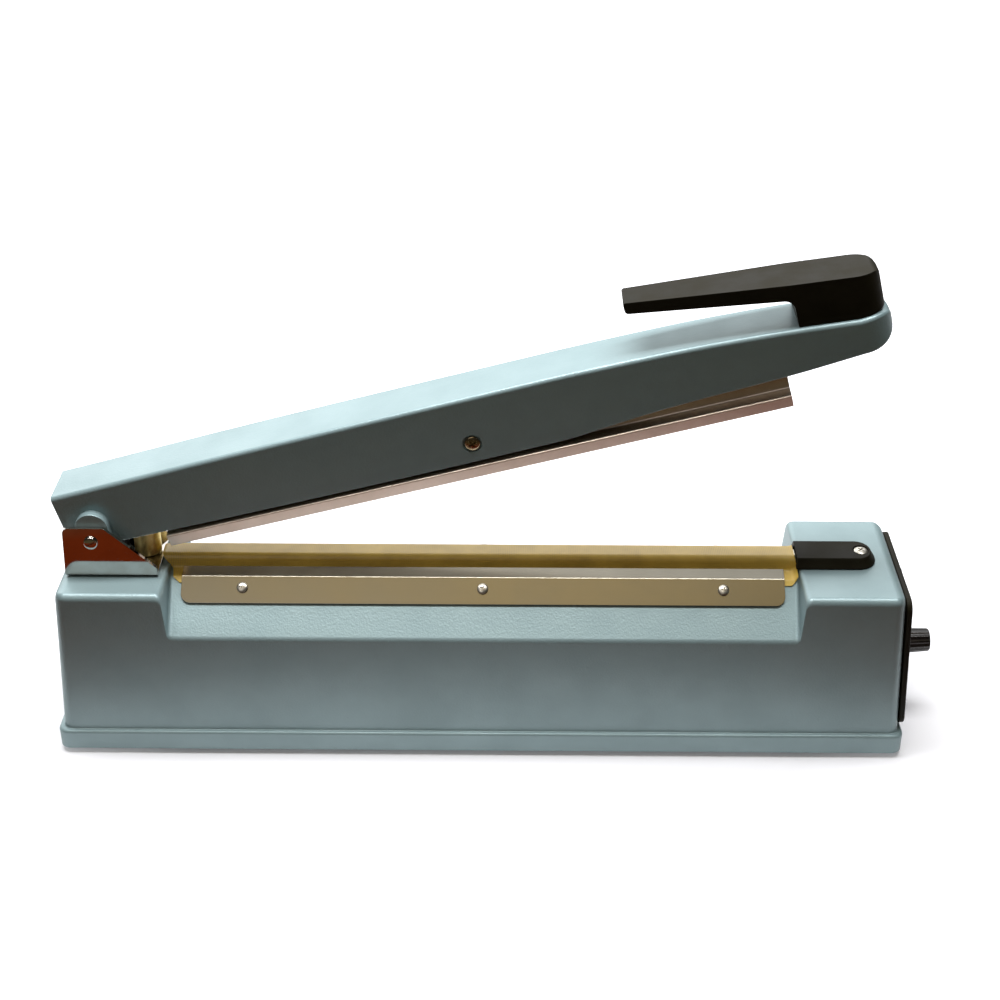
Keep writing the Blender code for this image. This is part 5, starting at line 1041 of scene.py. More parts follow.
@dataclass
class SealCloth:
    """The coated glass cloth: stretched over the bar, with its flaps under the clamp strips and its ends lifting."""

    housing: Housing
    left: float = -0.1532
    right: float = 0.1582
    thickness: float = 0.0004
    top: float = 0.096
    top_half: float = 0.0066
    fillet: float = 0.0058
    flap: float = 0.0028
    flap_fillets: tuple[float, ...] = (0, 0.001, 0.002)
    lift: float = 0.0003
    ridge_left: float = 0.0064
    ridge_right: float = -0.0014
    curl_length: float = 0.0032
    curl: float = 0.0022
    chamfer: float = 0.003
    ridge_start: float = 0.006
    ridge_rise: float = 0.012
    right_flat: float = 0.8
    left_dip: float = 0.25

    def path(self) -> list[Vector]:
        """The middle of the cloth in (y, z), from one flap over the bar to the other."""
        _, shoulder, crest = self.housing.saddle_line(0)
        rise = self.lift + self.thickness / 2
        flap = self.housing.over_shoulder(self.flap, (crest - shoulder).length, rise)
        middle = self.thickness / 2
        half = [(*point, radius) for point, radius in zip(flap, self.flap_fillets)]
        half.append((self.top_half - middle, self.top - middle, self.fillet))
        return filleted_run(mirrored(half), 6)

    def stops(self) -> list[float]:
        """Where the cloth is set out along its length: closer together at its curling ends."""
        wide, curl = self.right - self.left, self.curl_length
        ends = [curl * step / 6 for step in range(7)]
        middle = [curl + (wide - 2 * curl) * step / 60 for step in range(1, 60)]
        return [*ends, *middle, *[wide - curl * (6 - step) / 6 for step in range(7)]]

    def across(self, run: Sequence[Vector], stop: float, side: float) -> list[tuple[Place, Point]]:
        """One line of points across the cloth.

        Args:
            run: The middle of the cloth, from one flap to the other.
            stop: How far from the cloth's left end the line lies.
            side: How far outside the middle of the sheet it lies.

        Returns:
            Each point with its place in the flat cloth, in millimetres.
        """
        wide = self.right - self.left
        near = max(1 - min(stop, wide - stop) / self.curl_length, 0)
        length = run_length(run)
        points = []
        travelled = 0.0
        for index, (point, moved) in enumerate(zip(run, offset_run(run, 1.0))):
            travelled += (point - run[index - 1]).length if index else 0
            end = min(travelled, length - travelled)
            # The ridge reaches out over the towers, where the flaps stop short of their walls
            rise = min(max((end - self.ridge_start) / self.ridge_rise, 0), 1)
            out = rise * rise * (3 - 2 * rise)
            left = self.left - self.ridge_left * out
            right = self.right + self.ridge_right * out
            x = left + (right - left) * stop / wide
            shift = max(self.chamfer * near - end, 0)
            inward = 1 if travelled < length / 2 else -1
            along = (run[min(index + 1, len(run) - 1)] - run[max(index - 1, 0)]).normalized()
            place = point + along * shift * inward + (point - moved) * side
            lifted = self.curl * near**2 * (1 - self.right_flat * out if x > 0 else -self.left_dip * out)
            points.append(((x, place.x, place.y + lifted), (x * 1000, travelled * 1000)))
        return points

    def build(self) -> None:
        """Makes the cloth as a thin closed sheet with its thread directions in its map."""
        run = self.path()
        half = self.thickness / 2
        rings = [[*self.across(run, s, half), *reversed(self.across(run, s, -half))] for s in self.stops()]
        bm = bmesh.new()
        layer = bm.loops.layers.uv.new("UVMap")
        loops = add_skin(bm, [[place for place, _ in ring] for ring in rings])
        for loop in (loops[0], loops[-1]):
            add_cap(bm, loop, len(run) - 1)
        flat = {vert: spot for loop, ring in zip(loops, rings) for vert, (_, spot) in zip(loop, ring)}
        for face in bm.faces:
            for corner in face.loops:
                corner[layer].uv = flat[corner.vert]
        cloth = mesh_object("coated_cloth", bm, ROOT)
        place_piece(cloth, "base", SEAL_CLOTH, "ptfe_cloth")


@dataclass
class TerminalCover:
    """The moulded cover over the ribbon's end: square at the bar and round at its screw."""

    left: float = 0.1575
    length: float = 0.040545
    width: float = 0.0214
    low: float = 0.092
    height: float = 0.005
    lip: float = 0.0009
    inset: float = 0.0028
    screw_inset: float = 0.0073
    seat: float = 0.0956
    pocket: float = 0.0039
    bore: float = 0.0021
    under: float = 0.09
    slot_reach: float = 0.023
    slot_half: float = 0.0055
    slot_top: float = 0.0961

    def build(self) -> None:
        """Makes the cover with its cable recess and counterbore, and its screw."""
        # Up the cover: a short lip, a leaning side, and a rounded rim at its top
        rings = []
        slope = self.inset * 0.72
        lifts = [(0.0, 0.0), (0.0, self.lip * 0.7), (0.0002, self.lip)]
        lifts += [(slope, self.height - 0.0011), (slope + 0.0003, self.height - 0.0005)]
        lifts += [(slope + 0.0007, self.height - 0.0001), (slope + 0.0012, self.height)]
        for inset, lift in lifts:
            half = self.width / 2 - inset
            end = self.left + self.length - inset
            start = self.left + inset * 0.15
            corners = [(start, -half, 0.0004), (end, -half, half), (end, half, half), (start, half, 0.0004)]
            rings.append([along_z(x, y, self.low + lift) for x, y in filleted(corners, 14)])
        cover = mesh_object("ribbon_end_cover", loft(rings), ROOT)
        plan = rectangle(self.left - OVERCUT, self.left + self.slot_reach, -self.slot_half, self.slot_half)
        combine(cover, "DIFFERENCE", prism(plan, self.under, self.slot_top, along_z), ROOT)
        x = self.left + self.length - self.screw_inset
        over = self.low + self.height + 0.0002
        hole = bmesh.new()
        profile = [(0, self.under), (self.bore, self.under), (self.bore, self.seat), (self.pocket, self.seat)]
        profile += [(self.pocket, over - 0.0004), (self.pocket + 0.0004, over), (0, over)]
        add_turned(hole, profile, along_z, 40, centre=(x, 0))
        combine(cover, "DIFFERENCE", hole, ROOT)
        place_piece(cover, "base", BLACK_ABS, "terminal_cover")
        seat = ROOT @ Matrix.Translation((x, 0, self.seat))
        screw = Screw("cover_screw", head=0.0036, height=0.0017, shank=0.0018, length=0.01)
        ScrewSet("cover_screws", "base", screw, (("terminal_cover_screw", seat),), NICKEL_STEEL, seed=5).build()


# Hinge and spring


@dataclass
class Hinge:
    """The chromed bracket on the left tower, its headed pin, and the lift spring in its cup."""

    pivot_x: float = -0.190045
    pivot_z: float = 0.112
    rear: float = -0.205545
    length: float = 0.0462
    width: float = 0.042
    sheet: float = 0.0019
    low: float = 0.092
    bend: float = 0.0022
    top: float = 0.1199
    ear_top: float = 0.0222
    nose: float = 0.0973
    ear_fillet: float = 0.003
    lean: float = 0.0022
    pin: float = 0.003
    spring_x: float = -0.167345
    spring_low: float = 0.0955
    spring_high: float = 0.13925
    spring_radius: float = 0.0045
    wire: float = 0.0007
    turns: float = 8.0
    closed_share: float = 0.87
    edge: float = 0.00025
    pin_tail: float = 0.0032
    ear_low: float = 0.082
    sheet_bore: float = 0.0018
    sheet_bore_x: float = 0.012
    screw_x: float = 0.008
    screw_y: float = 0.013
    # The spring's cup in (radius, height), up its outside and down its inside
    cup: tuple[Corner, ...] = (
        (0.0002, 0.0942, 0),
        (0.00675, 0.0942, 0.0012),
        (0.00675, 0.1105, 0.00045),
        (0.00575, 0.1105, 0.00045),
        (0.00575, 0.0952, 0.0008),
        (0.0002, 0.0952, 0),
    )

    def bracket(self) -> None:
        """Folds the bracket from its sheet and cuts its ears to shape."""
        half = self.width / 2
        inner = half - self.sheet
        floor = self.low + self.sheet
        tight = self.bend - self.sheet
        fold = [(half, self.low, self.bend), (half, self.top, 0), (inner, self.top, 0), (inner, floor, tight)]
        corners = mirrored(fold)
        section = filleted(corners[-1:] + corners[:-1])
        front = self.rear + self.length
        bracket = mesh_object("chromed_bracket", prism(section, self.rear, front, along_x), ROOT)
        ear = filleted(
            [
                (self.rear, self.ear_low, 0),
                (front, self.ear_low, 0),
                (front, self.nose, 0.0012),
                (self.rear + self.ear_top, self.top, 0.0025),
                (self.rear + self.lean, self.top, self.ear_fillet),
            ]
        )
        combine(bracket, "INTERSECT", prism(ear, -self.width, self.width, along_y), ROOT)
        holes = bmesh.new()
        add_rod(holes, self.pin + CLEARANCE, -self.width, self.width, along_y, (self.pivot_x, self.pivot_z))
        bored = (self.pivot_x + self.sheet_bore_x, 0)
        add_rod(holes, self.sheet_bore, self.low - OVERCUT, floor + OVERCUT, along_z, bored)
        combine(bracket, "DIFFERENCE", holes, ROOT)
        soften(bracket, self.edge, segments=2, angle=50)
        place_piece(bracket, "base", CHROME, "hinge_bracket")

    def pin_and_screws(self) -> None:
        """Sets the slotted pin, its nut and the bracket's two screws."""
        outside = self.width / 2 + CLEARANCE
        length = 2 * outside + self.pin_tail
        pin = Screw("slotted_pin", head=0.0034, height=0.0013, shank=self.pin, length=length, drive=Drive.SLOT)
        seat = ROOT @ Matrix.Translation((self.pivot_x, -outside, self.pivot_z)) @ Matrix.Rotation(math.pi / 2, 4, "X")
        ScrewSet("hinge_pins", "base", pin, (("hinge_pin", seat),), CHROME, seed=1).build()
        place_piece(refined("pin_tail_nut", "hinge_pin_nut", 0.0003), "base", ZINC_STEEL, "hinge_pin_nut")
        screw = Screw("bracket_screw", head=0.0036, height=0.0024, shank=0.002, length=0.01)
        x, z = self.rear + self.screw_x, self.low + self.sheet
        places = (("front", -self.screw_y), ("rear", self.screw_y))
        seats = tuple((f"bracket_screw_{name}", ROOT @ Matrix.Translation((x, y, z))) for name, y in places)
        ScrewSet("bracket_screws", "base", screw, seats, ZINC_STEEL, seed=7).build()

    def spring_tree(self) -> NodeTree:
        """Winds the spring: a coil of even pitch with a closed turn at each end.

        Returns:
            The node tree, with inputs Turns, Radius, Height, Wire and Finish.
        """
        sizes = dict.fromkeys(("Turns", "Radius", "Height", "Wire"), "Float")
        tree, inputs = open_tree("coil_spring", sizes | {"Finish": "Material"})
        size = {"Start Radius": inputs["Radius"], "End Radius": inputs["Radius"], "Height": inputs["Height"]}
        coil = add_node(tree, "GeometryNodeCurveSpiral", {"Resolution": 28, "Rotations": inputs["Turns"], **size})
        where = add_node(tree, "ShaderNodeSeparateXYZ", {0: add_node(tree, "GeometryNodeInputPosition")}).outputs
        share = add_node(tree, "ShaderNodeMath", {0: where["Z"], 1: inputs["Height"]}, operation="DIVIDE")
        ease = add_node(tree, "ShaderNodeFloatCurve", {"Value": share})
        # The turns lie closed at both ends
        points = ease.mapping.curves[0].points
        points.new(0.13, 0.045)
        points.new(0.87, 0.955)
        ease.mapping.update()
        height = add_node(tree, "ShaderNodeMath", {0: ease, 1: inputs["Height"]}, operation="MULTIPLY")
        spot = add_node(tree, "ShaderNodeCombineXYZ", {"X": where["X"], "Y": where["Y"], "Z": height})
        path = add_node(tree, "GeometryNodeSetPosition", {"Geometry": coil, "Position": spot})
        section = add_node(tree, "GeometryNodeCurvePrimitiveCircle", {"Resolution": 12, "Radius": inputs["Wire"]})
        swept = {"Curve": path, "Profile Curve": section, "Fill Caps": True}
        close_tree(tree, add_node(tree, "GeometryNodeCurveToMesh", swept), inputs["Finish"])
        return tree

    def spring(self) -> None:
        """Winds the lift spring and sets it on the base, with a mesh of its own."""
        spring = link("coil_spring", bpy.data.meshes.new("coil_spring"))
        values = {
            "Turns": self.turns,
            "Radius": self.spring_radius,
            "Height": self.spring_high - self.spring_low - 2 * self.wire,
            "Wire": self.wire,
            "Finish": ZINC_STEEL.material(),
        }
        run_tree(spring, self.spring_tree(), values)
        place = Vector((self.spring_x - MIDDLE_X, 0, self.spring_low))
        bm = bmesh.new()
        bm.from_mesh(spring.data)
        bmesh.ops.remove_doubles(bm, verts=bm.verts, dist=MERGE)
        bmesh.ops.recalc_face_normals(bm, faces=bm.faces)
        bmesh.ops.translate(bm, verts=bm.verts, vec=place + Vector((0, 0, self.wire)))
        bm.to_mesh(spring.data)
        bm.free()
        place_piece(spring, "base", ZINC_STEEL, "lift_spring", weighted=False)
        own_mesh(spring)

    def build(self) -> None:
        """Makes the whole hinge."""
        self.bracket()
        self.pin_and_screws()
        self.spring()
        place = ROOT @ Matrix.Translation((self.spring_x, 0, 0))
        cup = filleted(self.cup, 5)
        TurnedPart("brass_cup", "spring_cup", "base", cup, place, BRASS, hollow=True).build()


# Arm


@dataclass
class Arm:
    """The cast, enamelled arm: a channel open below, solid and rounded at its tip, with bosses for the pin."""

    rear: float = 0.013
    length: float = 0.3972
    top: float = 0.0261
    bottom: float = 0.0076
    width: float = 0.0298
    rear_loss: float = 0.00108
    wall: float = 0.0025
    fillet: float = 0.0022
    lower_fillet: float = 0.0008
    rear_fillet: float = 0.0007
    channel_end: float = 0.348
    channel_slope: float = 0.086
    channel_front_top: float = 0.018
    screw: Point = (0.1941, 0.002)
    recess: float = 0.0046
    recess_depth: float = 0.0013
    screw_seat: float = -0.0139
    screw_bore: float = 0.0028
    nut_seat: float = 0.0128
    boss_top: Point = (0.0022, 0.0059)
    boss_radii: Point = (0.0082, 0.0095)
    boss_reach: float = 0.0188
    pin_bore: float = 0.0033
    rib: tuple[float, float, float] = (0.0095, 0.0145, -0.0055)
    handle_screws: tuple[tuple[str, float], ...] = (("handle_screw_rear", 0.361), ("handle_screw_front", 0.3775))
    handle_seat: float = 0.0075
    handle_pocket: float = 0.0039
    handle_bore: float = 0.0023
    straight_stops: tuple[float, ...] = (0.01, 0.035, 0.065, 0.1, 0.15, 0.19)
    tip_powers: tuple[float, float, float] = (2.2, 3.4, 2.3)
    # Along the arm, underside, top, half width and fillet, as shares of its length, height, width and fillet
    shares: tuple[tuple[float, ...], ...] = (
        (0.252, 0.000, 0.000, 1.00, 1.0),
        (0.595, 0.000, 0.000, 1.00, 1.0),
        (0.643, 0.049, 0.006, 1.01, 1.0),
        (0.706, 0.114, 0.021, 1.02, 1.0),
        (0.767, 0.152, 0.043, 1.03, 1.0),
        (0.828, 0.176, 0.084, 1.04, 1.0),
        (0.886, 0.204, 0.137, 1.05, 1.0),
        (0.960, 0.264, 0.224, 1.05, 1.0),
    )

    def rows(self) -> list[tuple[float, ...]]:
        """(along, underside, top, half width, fillet) where the arm's shape is set out."""
        less = self.rear_loss
        rows = [(-self.rear, less - self.bottom, self.top - less, (self.width - less) / 2, self.fillet)]
        depth = self.top + self.bottom
        for along, rise, fall, width, fillet in self.shares:
            low = rise * depth - self.bottom
            high = self.top - fall * depth
            rows.append((along * self.length, low, high, width * self.width / 2, fillet * self.fillet))
        return rows

    def station(self, along: float) -> list[float]:
        """The underside, top, half width and fillet at a place, eased through the rows.

        Args:
            along: How far from the hinge.

        Returns:
            The four values.
        """
        rows = self.rows()
        index = max(i for i, row in enumerate(rows[:-1]) if row[0] <= along or i == 0)
        first, second = rows[index], rows[index + 1]
        span = second[0] - first[0]
        share = min(max((along - first[0]) / span, 0), 1)
        values = []
        for column in range(1, 5):
            slopes = []
            for place in (index, index + 1):
                before, after = rows[max(place - 1, 0)], rows[min(place + 1, len(rows) - 1)]
                slopes.append((after[column] - before[column]) / (after[0] - before[0]) * span)
            if index == 0:
                slopes = [0.0, 0.0]
            a, b = first[column], second[column]
            eased = share * share * (3 - 2 * share)
            bow = share * (1 - share) * (slopes[0] * (1 - share) - slopes[1] * share)
            values.append(a + (b - a) * eased + bow)
        return values

    def ring(self, along: float, low: float, high: float, half: float, fillet: float) -> list[Vector]:
        """One cross-section of the arm."""
        below = min(self.lower_fillet, half * 0.3)
        corners = [(half, low, below), (half, high, fillet), (-half, high, fillet), (-half, low, below)]
        return [along_x(y, z, along) for y, z in filleted(corners, 7)]

    def shape(self) -> BMesh:
        """The arm's outside."""
        rings = []
        for angle in quarter(5):
            trim = self.rear_fillet * (1 - math.sin(angle))
            along = -self.rear + self.rear_fillet * (1 - math.cos(angle))
            low, high, half, fillet = self.station(along)
            rings.append(self.ring(along, low + trim, high - trim, half - trim, fillet - trim / 2))
        start, tip = self.shares[1][0] * self.length, self.shares[-1][0] * self.length
        stops = [*self.straight_stops, *[start + (tip - start) * step / 30 for step in range(31)]]
        rings += [self.ring(along, *self.station(along)) for along in stops]
        low, high, half, fillet = self.station(tip)
        middle = (low + high) / 2
        for angle in quarter(14)[1:]:
            reach = min(math.sin(angle), 0.9985)
            wide, above, below = [(1 - reach**power) ** (1 / power) for power in self.tip_powers]
            along = tip + (self.length - tip) * reach
            bottom, crown = middle + (low - middle) * below, middle + (high - middle) * above
            rings.append(self.ring(along, bottom, crown, half * wide, fillet * min(wide, above)))
        return loft(rings)

    @staticmethod
    def hull(upper: Vector, upper_radius: float, lower_radius: float, sides: int = 20) -> list[Vector]:
        """The outline round a boss's two circles, the lower one about the hinge axis."""
        lean = math.atan2(upper.y, upper.x)
        spread = math.acos((lower_radius - upper_radius) / upper.length)
        points = []
        for step in range(sides + 1):
            angle = lean - spread + 2 * spread * step / sides
            points.append(upper + upper_radius * Vector((math.cos(angle), math.sin(angle))))
        for step in range(sides + 1):
            angle = lean + spread + 2 * (math.pi - spread) * step / sides
            points.append(lower_radius * Vector((math.cos(angle), math.sin(angle))))
        return points

    def holes(self, below: float) -> BMesh:
        """The bores for the pin and the pivot screw, and the stepped pockets of the handle's screws."""
        half = self.width / 2
        floor, rim, back = self.recess_depth - half, self.recess, self.nut_seat
        holes = bmesh.new()
        add_rod(holes, self.pin_bore, -0.03, 0.03, along_y, sides=40)
        pivot = [(0, -half - OVERCUT), (rim + 0.0026, -half - OVERCUT), (rim + 0.0003, -half), (rim, -half + 0.0003)]
        pivot += [(rim, floor), (self.screw_bore, floor), (self.screw_bore, back), (rim, back)]
        pivot += [(rim, half + OVERCUT), (0, half + OVERCUT)]
        add_turned(holes, pivot, along_y, 48, centre=self.screw)
        wide, narrow, seat = self.handle_pocket, self.handle_bore, self.handle_seat
        steps = [(0, below), (wide, below), (wide, seat), (narrow, seat), (narrow, self.top), (0, self.top)]
        for _, x in self.handle_screws:
            add_turned(holes, steps, along_z, 32, centre=(x, 0))
        return holes

    def casting(self) -> None:
        """Makes the arm with its channel, bosses, switch rib and holes."""
        arm = mesh_object("enamelled_arm", self.shape(), ARM_FRAME)
        rear = self.wall - self.rear
        roof = self.top - self.wall
        below = -self.bottom - OVERCUT
        channel = [(rear, below), (self.channel_end, below), (self.channel_end, self.channel_front_top)]
        channel += [(self.channel_end - self.channel_slope, roof), (rear, roof)]
        inside = self.width / 2 - self.wall
        combine(arm, "DIFFERENCE", prism(channel, -inside, inside, along_y), ARM_FRAME)
        outline = self.hull(Vector(self.boss_top), *self.boss_radii)
        outer, inner = self.boss_reach, self.width / 2 - self.wall / 2
        for side in (-1, 1):
            rings = []
            for shrink, depth in ((1.0, inner), (1.0, outer - 0.0007), (0.98, outer - 0.0002), (0.94, outer)):
                rings.append([along_y(p.x * shrink, p.y * shrink, side * depth) for p in outline])
            combine(arm, "UNION", loft(rings), ARM_FRAME)
        between = inside + self.wall / 2 - CLEARANCE
        rib = rectangle(*self.rib, roof + self.wall / 2)
        combine(arm, "UNION", prism(rib, -between, between, along_y), ARM_FRAME)
        combine(arm, "DIFFERENCE", self.holes(below), ARM_FRAME)
        place_piece(arm, "arm", ENAMEL, "arm_casting")

    def build(self) -> None:
        """Makes the casting and the screws in it."""
        self.casting()
        x, z = self.screw
        facing = Matrix.Rotation(math.pi / 2, 4, "X")
        pivot = Screw("pivot_screw", head=0.00375, height=0.0016, shank=0.0025, length=0.0283)
        seat = ARM_FRAME @ Matrix.Translation((x, self.screw_seat, z)) @ facing
        ScrewSet("pivot_screws", "arm", pivot, (("jaw_pivot_screw", seat),), YELLOW_ZINC, seed=2).build()
        place_piece(refined("pivot_nut", "jaw_pivot_nut", 0.0002), "arm", ZINC_STEEL, "jaw_pivot_nut")
        down = Matrix.Rotation(math.pi, 4, "X")
        screw = Screw("handle_screw", head=0.0036, height=0.0024, shank=0.002, length=0.02)
        places = [(node, Matrix.Translation((x, 0, self.handle_seat))) for node, x in self.handle_screws]
        seats = tuple((node, ARM_FRAME @ place @ down) for node, place in places)
        ScrewSet("handle_screws", "arm", screw, seats, ZINC_STEEL, seed=4).build()


@dataclass
class Handle:
    """The moulded handle: a tapering grip that points back over the arm from a post at its tip."""

    arm: Arm
    tip_x: float = 0.279
    post_x: float = 0.3545
    end_x: float = 0.395
    tip_top: float = 0.0515
    fall: float = 0.0136
    tip_thickness: float = 0.0056
    throat_thickness: float = 0.0079
    tip_width: float = 0.0168
    post_width: float = 0.0256
    draft: float = 0.0014
    edge: float = 0.0009

    def build(self) -> None:
        """Makes the handle from its side view and its plan, with every edge rounded."""
        slope = self.fall / (self.end_x - self.tip_x)
        throat_top = self.tip_top - slope * (self.post_x - self.tip_x)
        end_top = self.tip_top - self.fall
        flat_end = self.arm.shares[-1][0] * self.arm.length
        post_low = self.arm.station(self.post_x)[1] + CLEARANCE
        end_low = self.arm.station(flat_end)[1] + CLEARANCE
        side_view = filleted(
            [
                (self.tip_x, self.tip_top, 0.0012),
                (self.tip_x, self.tip_top - self.tip_thickness, 0.002),
                (self.post_x, throat_top - self.throat_thickness, 0.005),
                (self.post_x, post_low, 0),
                (flat_end, end_low, 0),
                (self.end_x, end_low, 0),
                (self.end_x, end_top, 0.0045),
            ],
            10,
        )
        grip = prism(side_view, -self.post_width, self.post_width, along_y)
        handle = mesh_object("moulded_handle", grip, ARM_FRAME)
        rings = []
        for height, wider in ((0.0, self.draft), (end_top, 0.0), (self.tip_top + OVERCUT, 0.0)):
            tip, post = self.tip_width / 2 + wider / 4, self.post_width / 2 + wider
            plan = [(self.tip_x - OVERCUT, -tip, 0), (self.post_x, -post, 0.02), (self.end_x, -post, post)]
            plan += [(x, -y, radius) for x, y, radius in reversed(plan)]
            rings.append([along_z(x, y, height) for x, y in filleted(plan, 14)])
        combine(handle, "INTERSECT", loft(rings), ARM_FRAME)
        soften(handle, self.edge, segments=4, angle=40)
        place_piece(handle, "arm", BLACK_ABS, "handle")


@dataclass
class Jaw:
    """The bar under the arm, with a lip and an outward-leaning band along each edge, and the silicone strip."""

    rear: float = 0.159
    length: float = 0.3099
    foot: float = 0.0142
    wall: float = 0.0095
    low: float = -0.018708
    lip: float = 0.0024
    lip_width: float = 0.0032
    lip_rim: float = 0.0014
    band: float = 0.0064
    overhang: float = 0.0014
    ledge: float = 0.0014
    sheet: float = 0.0015
    top: float = 0.0052

    def build(self) -> None:
        """Makes the bar and the strip."""
        inner = self.wall - self.sheet
        seat = self.low + self.lip
        floor = seat + 2 * self.sheet
        half = [
            (self.foot - self.lip_width, seat, 0.0005),
            (self.foot - self.lip_rim, self.low, 0.0005),
            (self.foot, self.low, 0.0007),
            (self.foot + self.overhang, self.low + self.band, 0.0006),
            (self.wall, self.low + self.band + self.ledge, 0.0012),
            (self.wall, self.top, 0.0003),
            (inner, self.top, 0.0003),
            (inner, floor, 0.001),
        ]
        outline = filleted(mirrored(half), 5)
        profile = prism(outline, -self.rear, self.length - self.rear, along_x)
        bar = mesh_object("flared_bar", profile, JAW_FRAME)
        # The bar's pale warm cream colour is a painted reflection on real aluminium
        place_piece(bar, "jaw", CREAM_REFLECTION_ALUMINIUM, "jaw_bar")
        strip = refined("silicone_pad", "silicone_strip", 0.0003)
        place_piece(strip, "jaw", SILICONE, "silicone_strip")


# End wall and small fittings


@dataclass
class TurnedPart:
    """A round piece, turned about its own axis."""

    name: str
    node: str
    body: str
    profile: Sequence[Vector]
    place: Matrix
    finish: Finish
    hollow: bool = False
    sides: int = 56

    def build(self) -> None:
        """Makes the piece on its axis and sets it in its place."""
        bm = bmesh.new()
        add_turned(bm, [(p[0], p[1]) for p in self.profile], along_z, self.sides, self.hollow)
        place_piece(mesh_object(self.name, bm, self.place), self.body, self.finish, self.node)


@dataclass
class EndControls:
    """The panel on the right end wall with its screws, pilot lamp and timer knob."""

    foot_half: float = 0.0385
    shoulder_half: float = 0.035245
    low: float = 0.0022
    top: float = 0.0757
    corner: float = 0.006
    face: float = 0.0031
    edge: float = 0.0006
    shaft_bore: float = 0.0037
    lamp_bore: float = 0.0039
    screw_lifts: tuple[float, float] = (0.0077, 0.0702)
    knob_radius: float = 0.0067
    knob_tip: float = 0.0059
    knob_start: float = 0.0034
    knob_length: float = 0.0177
    ribs: int = 14
    flute: float = 0.0004
    flute_fade: float = 0.0012
    dish: float = 0.0003
    dish_shares: Point = (0.7, 0.62)
    nut_room: float = 0.0049
    nut_depth: float = 0.0034
    shaft_room: float = 0.0028
    front_wall: float = 0.0022
    lamp_body: float = 0.0036
    lamp_depth: float = 0.012
    lamp_rim: float = 0.0048

    def panel(self) -> None:
        """Makes the moulded panel and its two screws."""
        corners = [(-self.foot_half, self.low), (self.foot_half, self.low)]
        corners += [(self.shoulder_half, self.top), (-self.shoulder_half, self.top)]
        outline = filleted([(*corner, self.corner) for corner in corners], 12)
        panel = mesh_object("moulded_panel", prism(outline, CLEARANCE, self.face, along_x), END_FRAME)
        soften(panel, self.edge, angle=50)
        bores = ((self.shaft_bore, KNOB_LIFT), (self.lamp_bore, LAMP_LIFT))
        through = (-OVERCUT, self.face + OVERCUT)
        drill(panel, END_FRAME, along_x, *[(radius, *through, (0, lift)) for radius, lift in bores])
        place_piece(panel, "base", BLACK_ABS, "end_panel")
        names = ("panel_screw_lower", "panel_screw_upper")
        facing = Matrix.Rotation(math.pi / 2, 4, "Y")
        places = [END_FRAME @ Matrix.Translation((self.face, 0, lift)) @ facing for lift in self.screw_lifts]
        screw = Screw("panel_screw", head=0.0029, height=0.0015, shank=0.0015, length=0.009)
        ScrewSet("panel_screws", "base", screw, tuple(zip(names, places)), ZINC_STEEL, seed=6).build()

    def lamp(self) -> None:
        """Makes the pilot lamp with its domed lens."""
        low = self.face + CLEARANCE
        body, rim, back = self.lamp_body, self.lamp_rim, -self.lamp_depth
        run = [(0, back, 0), (body, back, 0), (body, low, 0), (rim, low, 0), (rim, low + 0.0009, 0.0005)]
        run += [(0.0038, low + 0.0011, 0.0002), (0.0034, low + 0.0019, 0.0008), (0, low + 0.0022, 0)]
        facing = Matrix.Translation((0, 0, LAMP_LIFT)) @ Matrix.Rotation(math.pi / 2, 4, "Y")
        TurnedPart("domed_lamp", "pilot_lamp", "base", filleted_run(run, 5), END_FRAME @ facing, RED_LENS).build()

    def knob(self) -> None:
        """Makes the fluted knob, hollow behind for the bush's nut and the shaft."""
        tip = self.knob_start + self.knob_length
        rim, dish = [self.knob_tip * share for share in self.dish_shares]
        profile = filleted_run(
            [
                (0, self.knob_start, 0),
                (self.knob_radius, self.knob_start, 0.0003),
                (self.knob_tip, tip, 0.0011),
                (rim, tip, 0.0003),
                (dish, tip - self.dish, 0.0003),
                (0, tip - self.dish, 0),
            ],
            5,
        )
        rings = []
        for radius, depth in profile:
            deep = self.flute if radius > self.knob_tip * 0.75 else 0
            fade = min(max((tip - depth) / self.flute_fade, 0), 1)
            ring = []
            for step in range(self.ribs * 10):
                turn = math.tau * step / (self.ribs * 10)
                wave = 0.5 - 0.5 * math.cos(self.ribs * turn)
                reach = max(radius - deep * fade * wave, 0)
                ring.append(along_x(reach * math.cos(turn), reach * math.sin(turn), depth))
            rings.append(ring)
        bm = bmesh.new()
        add_skin(bm, rings)
        place = END_FRAME @ Matrix.Translation((0, 0, KNOB_LIFT))
        knob = mesh_object("fluted_knob", bm, place)
        hollow = bmesh.new()
        mouth, neck, end = self.knob_start - OVERCUT, self.knob_start + self.nut_depth, tip - self.front_wall
        steps = [(0, mouth), (self.nut_room, mouth), (self.nut_room, neck), (self.shaft_room, neck)]
        steps += [(self.shaft_room, end), (0, end)]
        add_turned(hollow, steps, along_x, 40)
        combine(knob, "DIFFERENCE", hollow, place)
        place_piece(knob, "timer_dial", KNOB_PHENOLIC, "timer_knob")

    def build(self) -> None:
        """Makes everything on the end wall."""
        self.panel()
        self.lamp()
        self.knob()


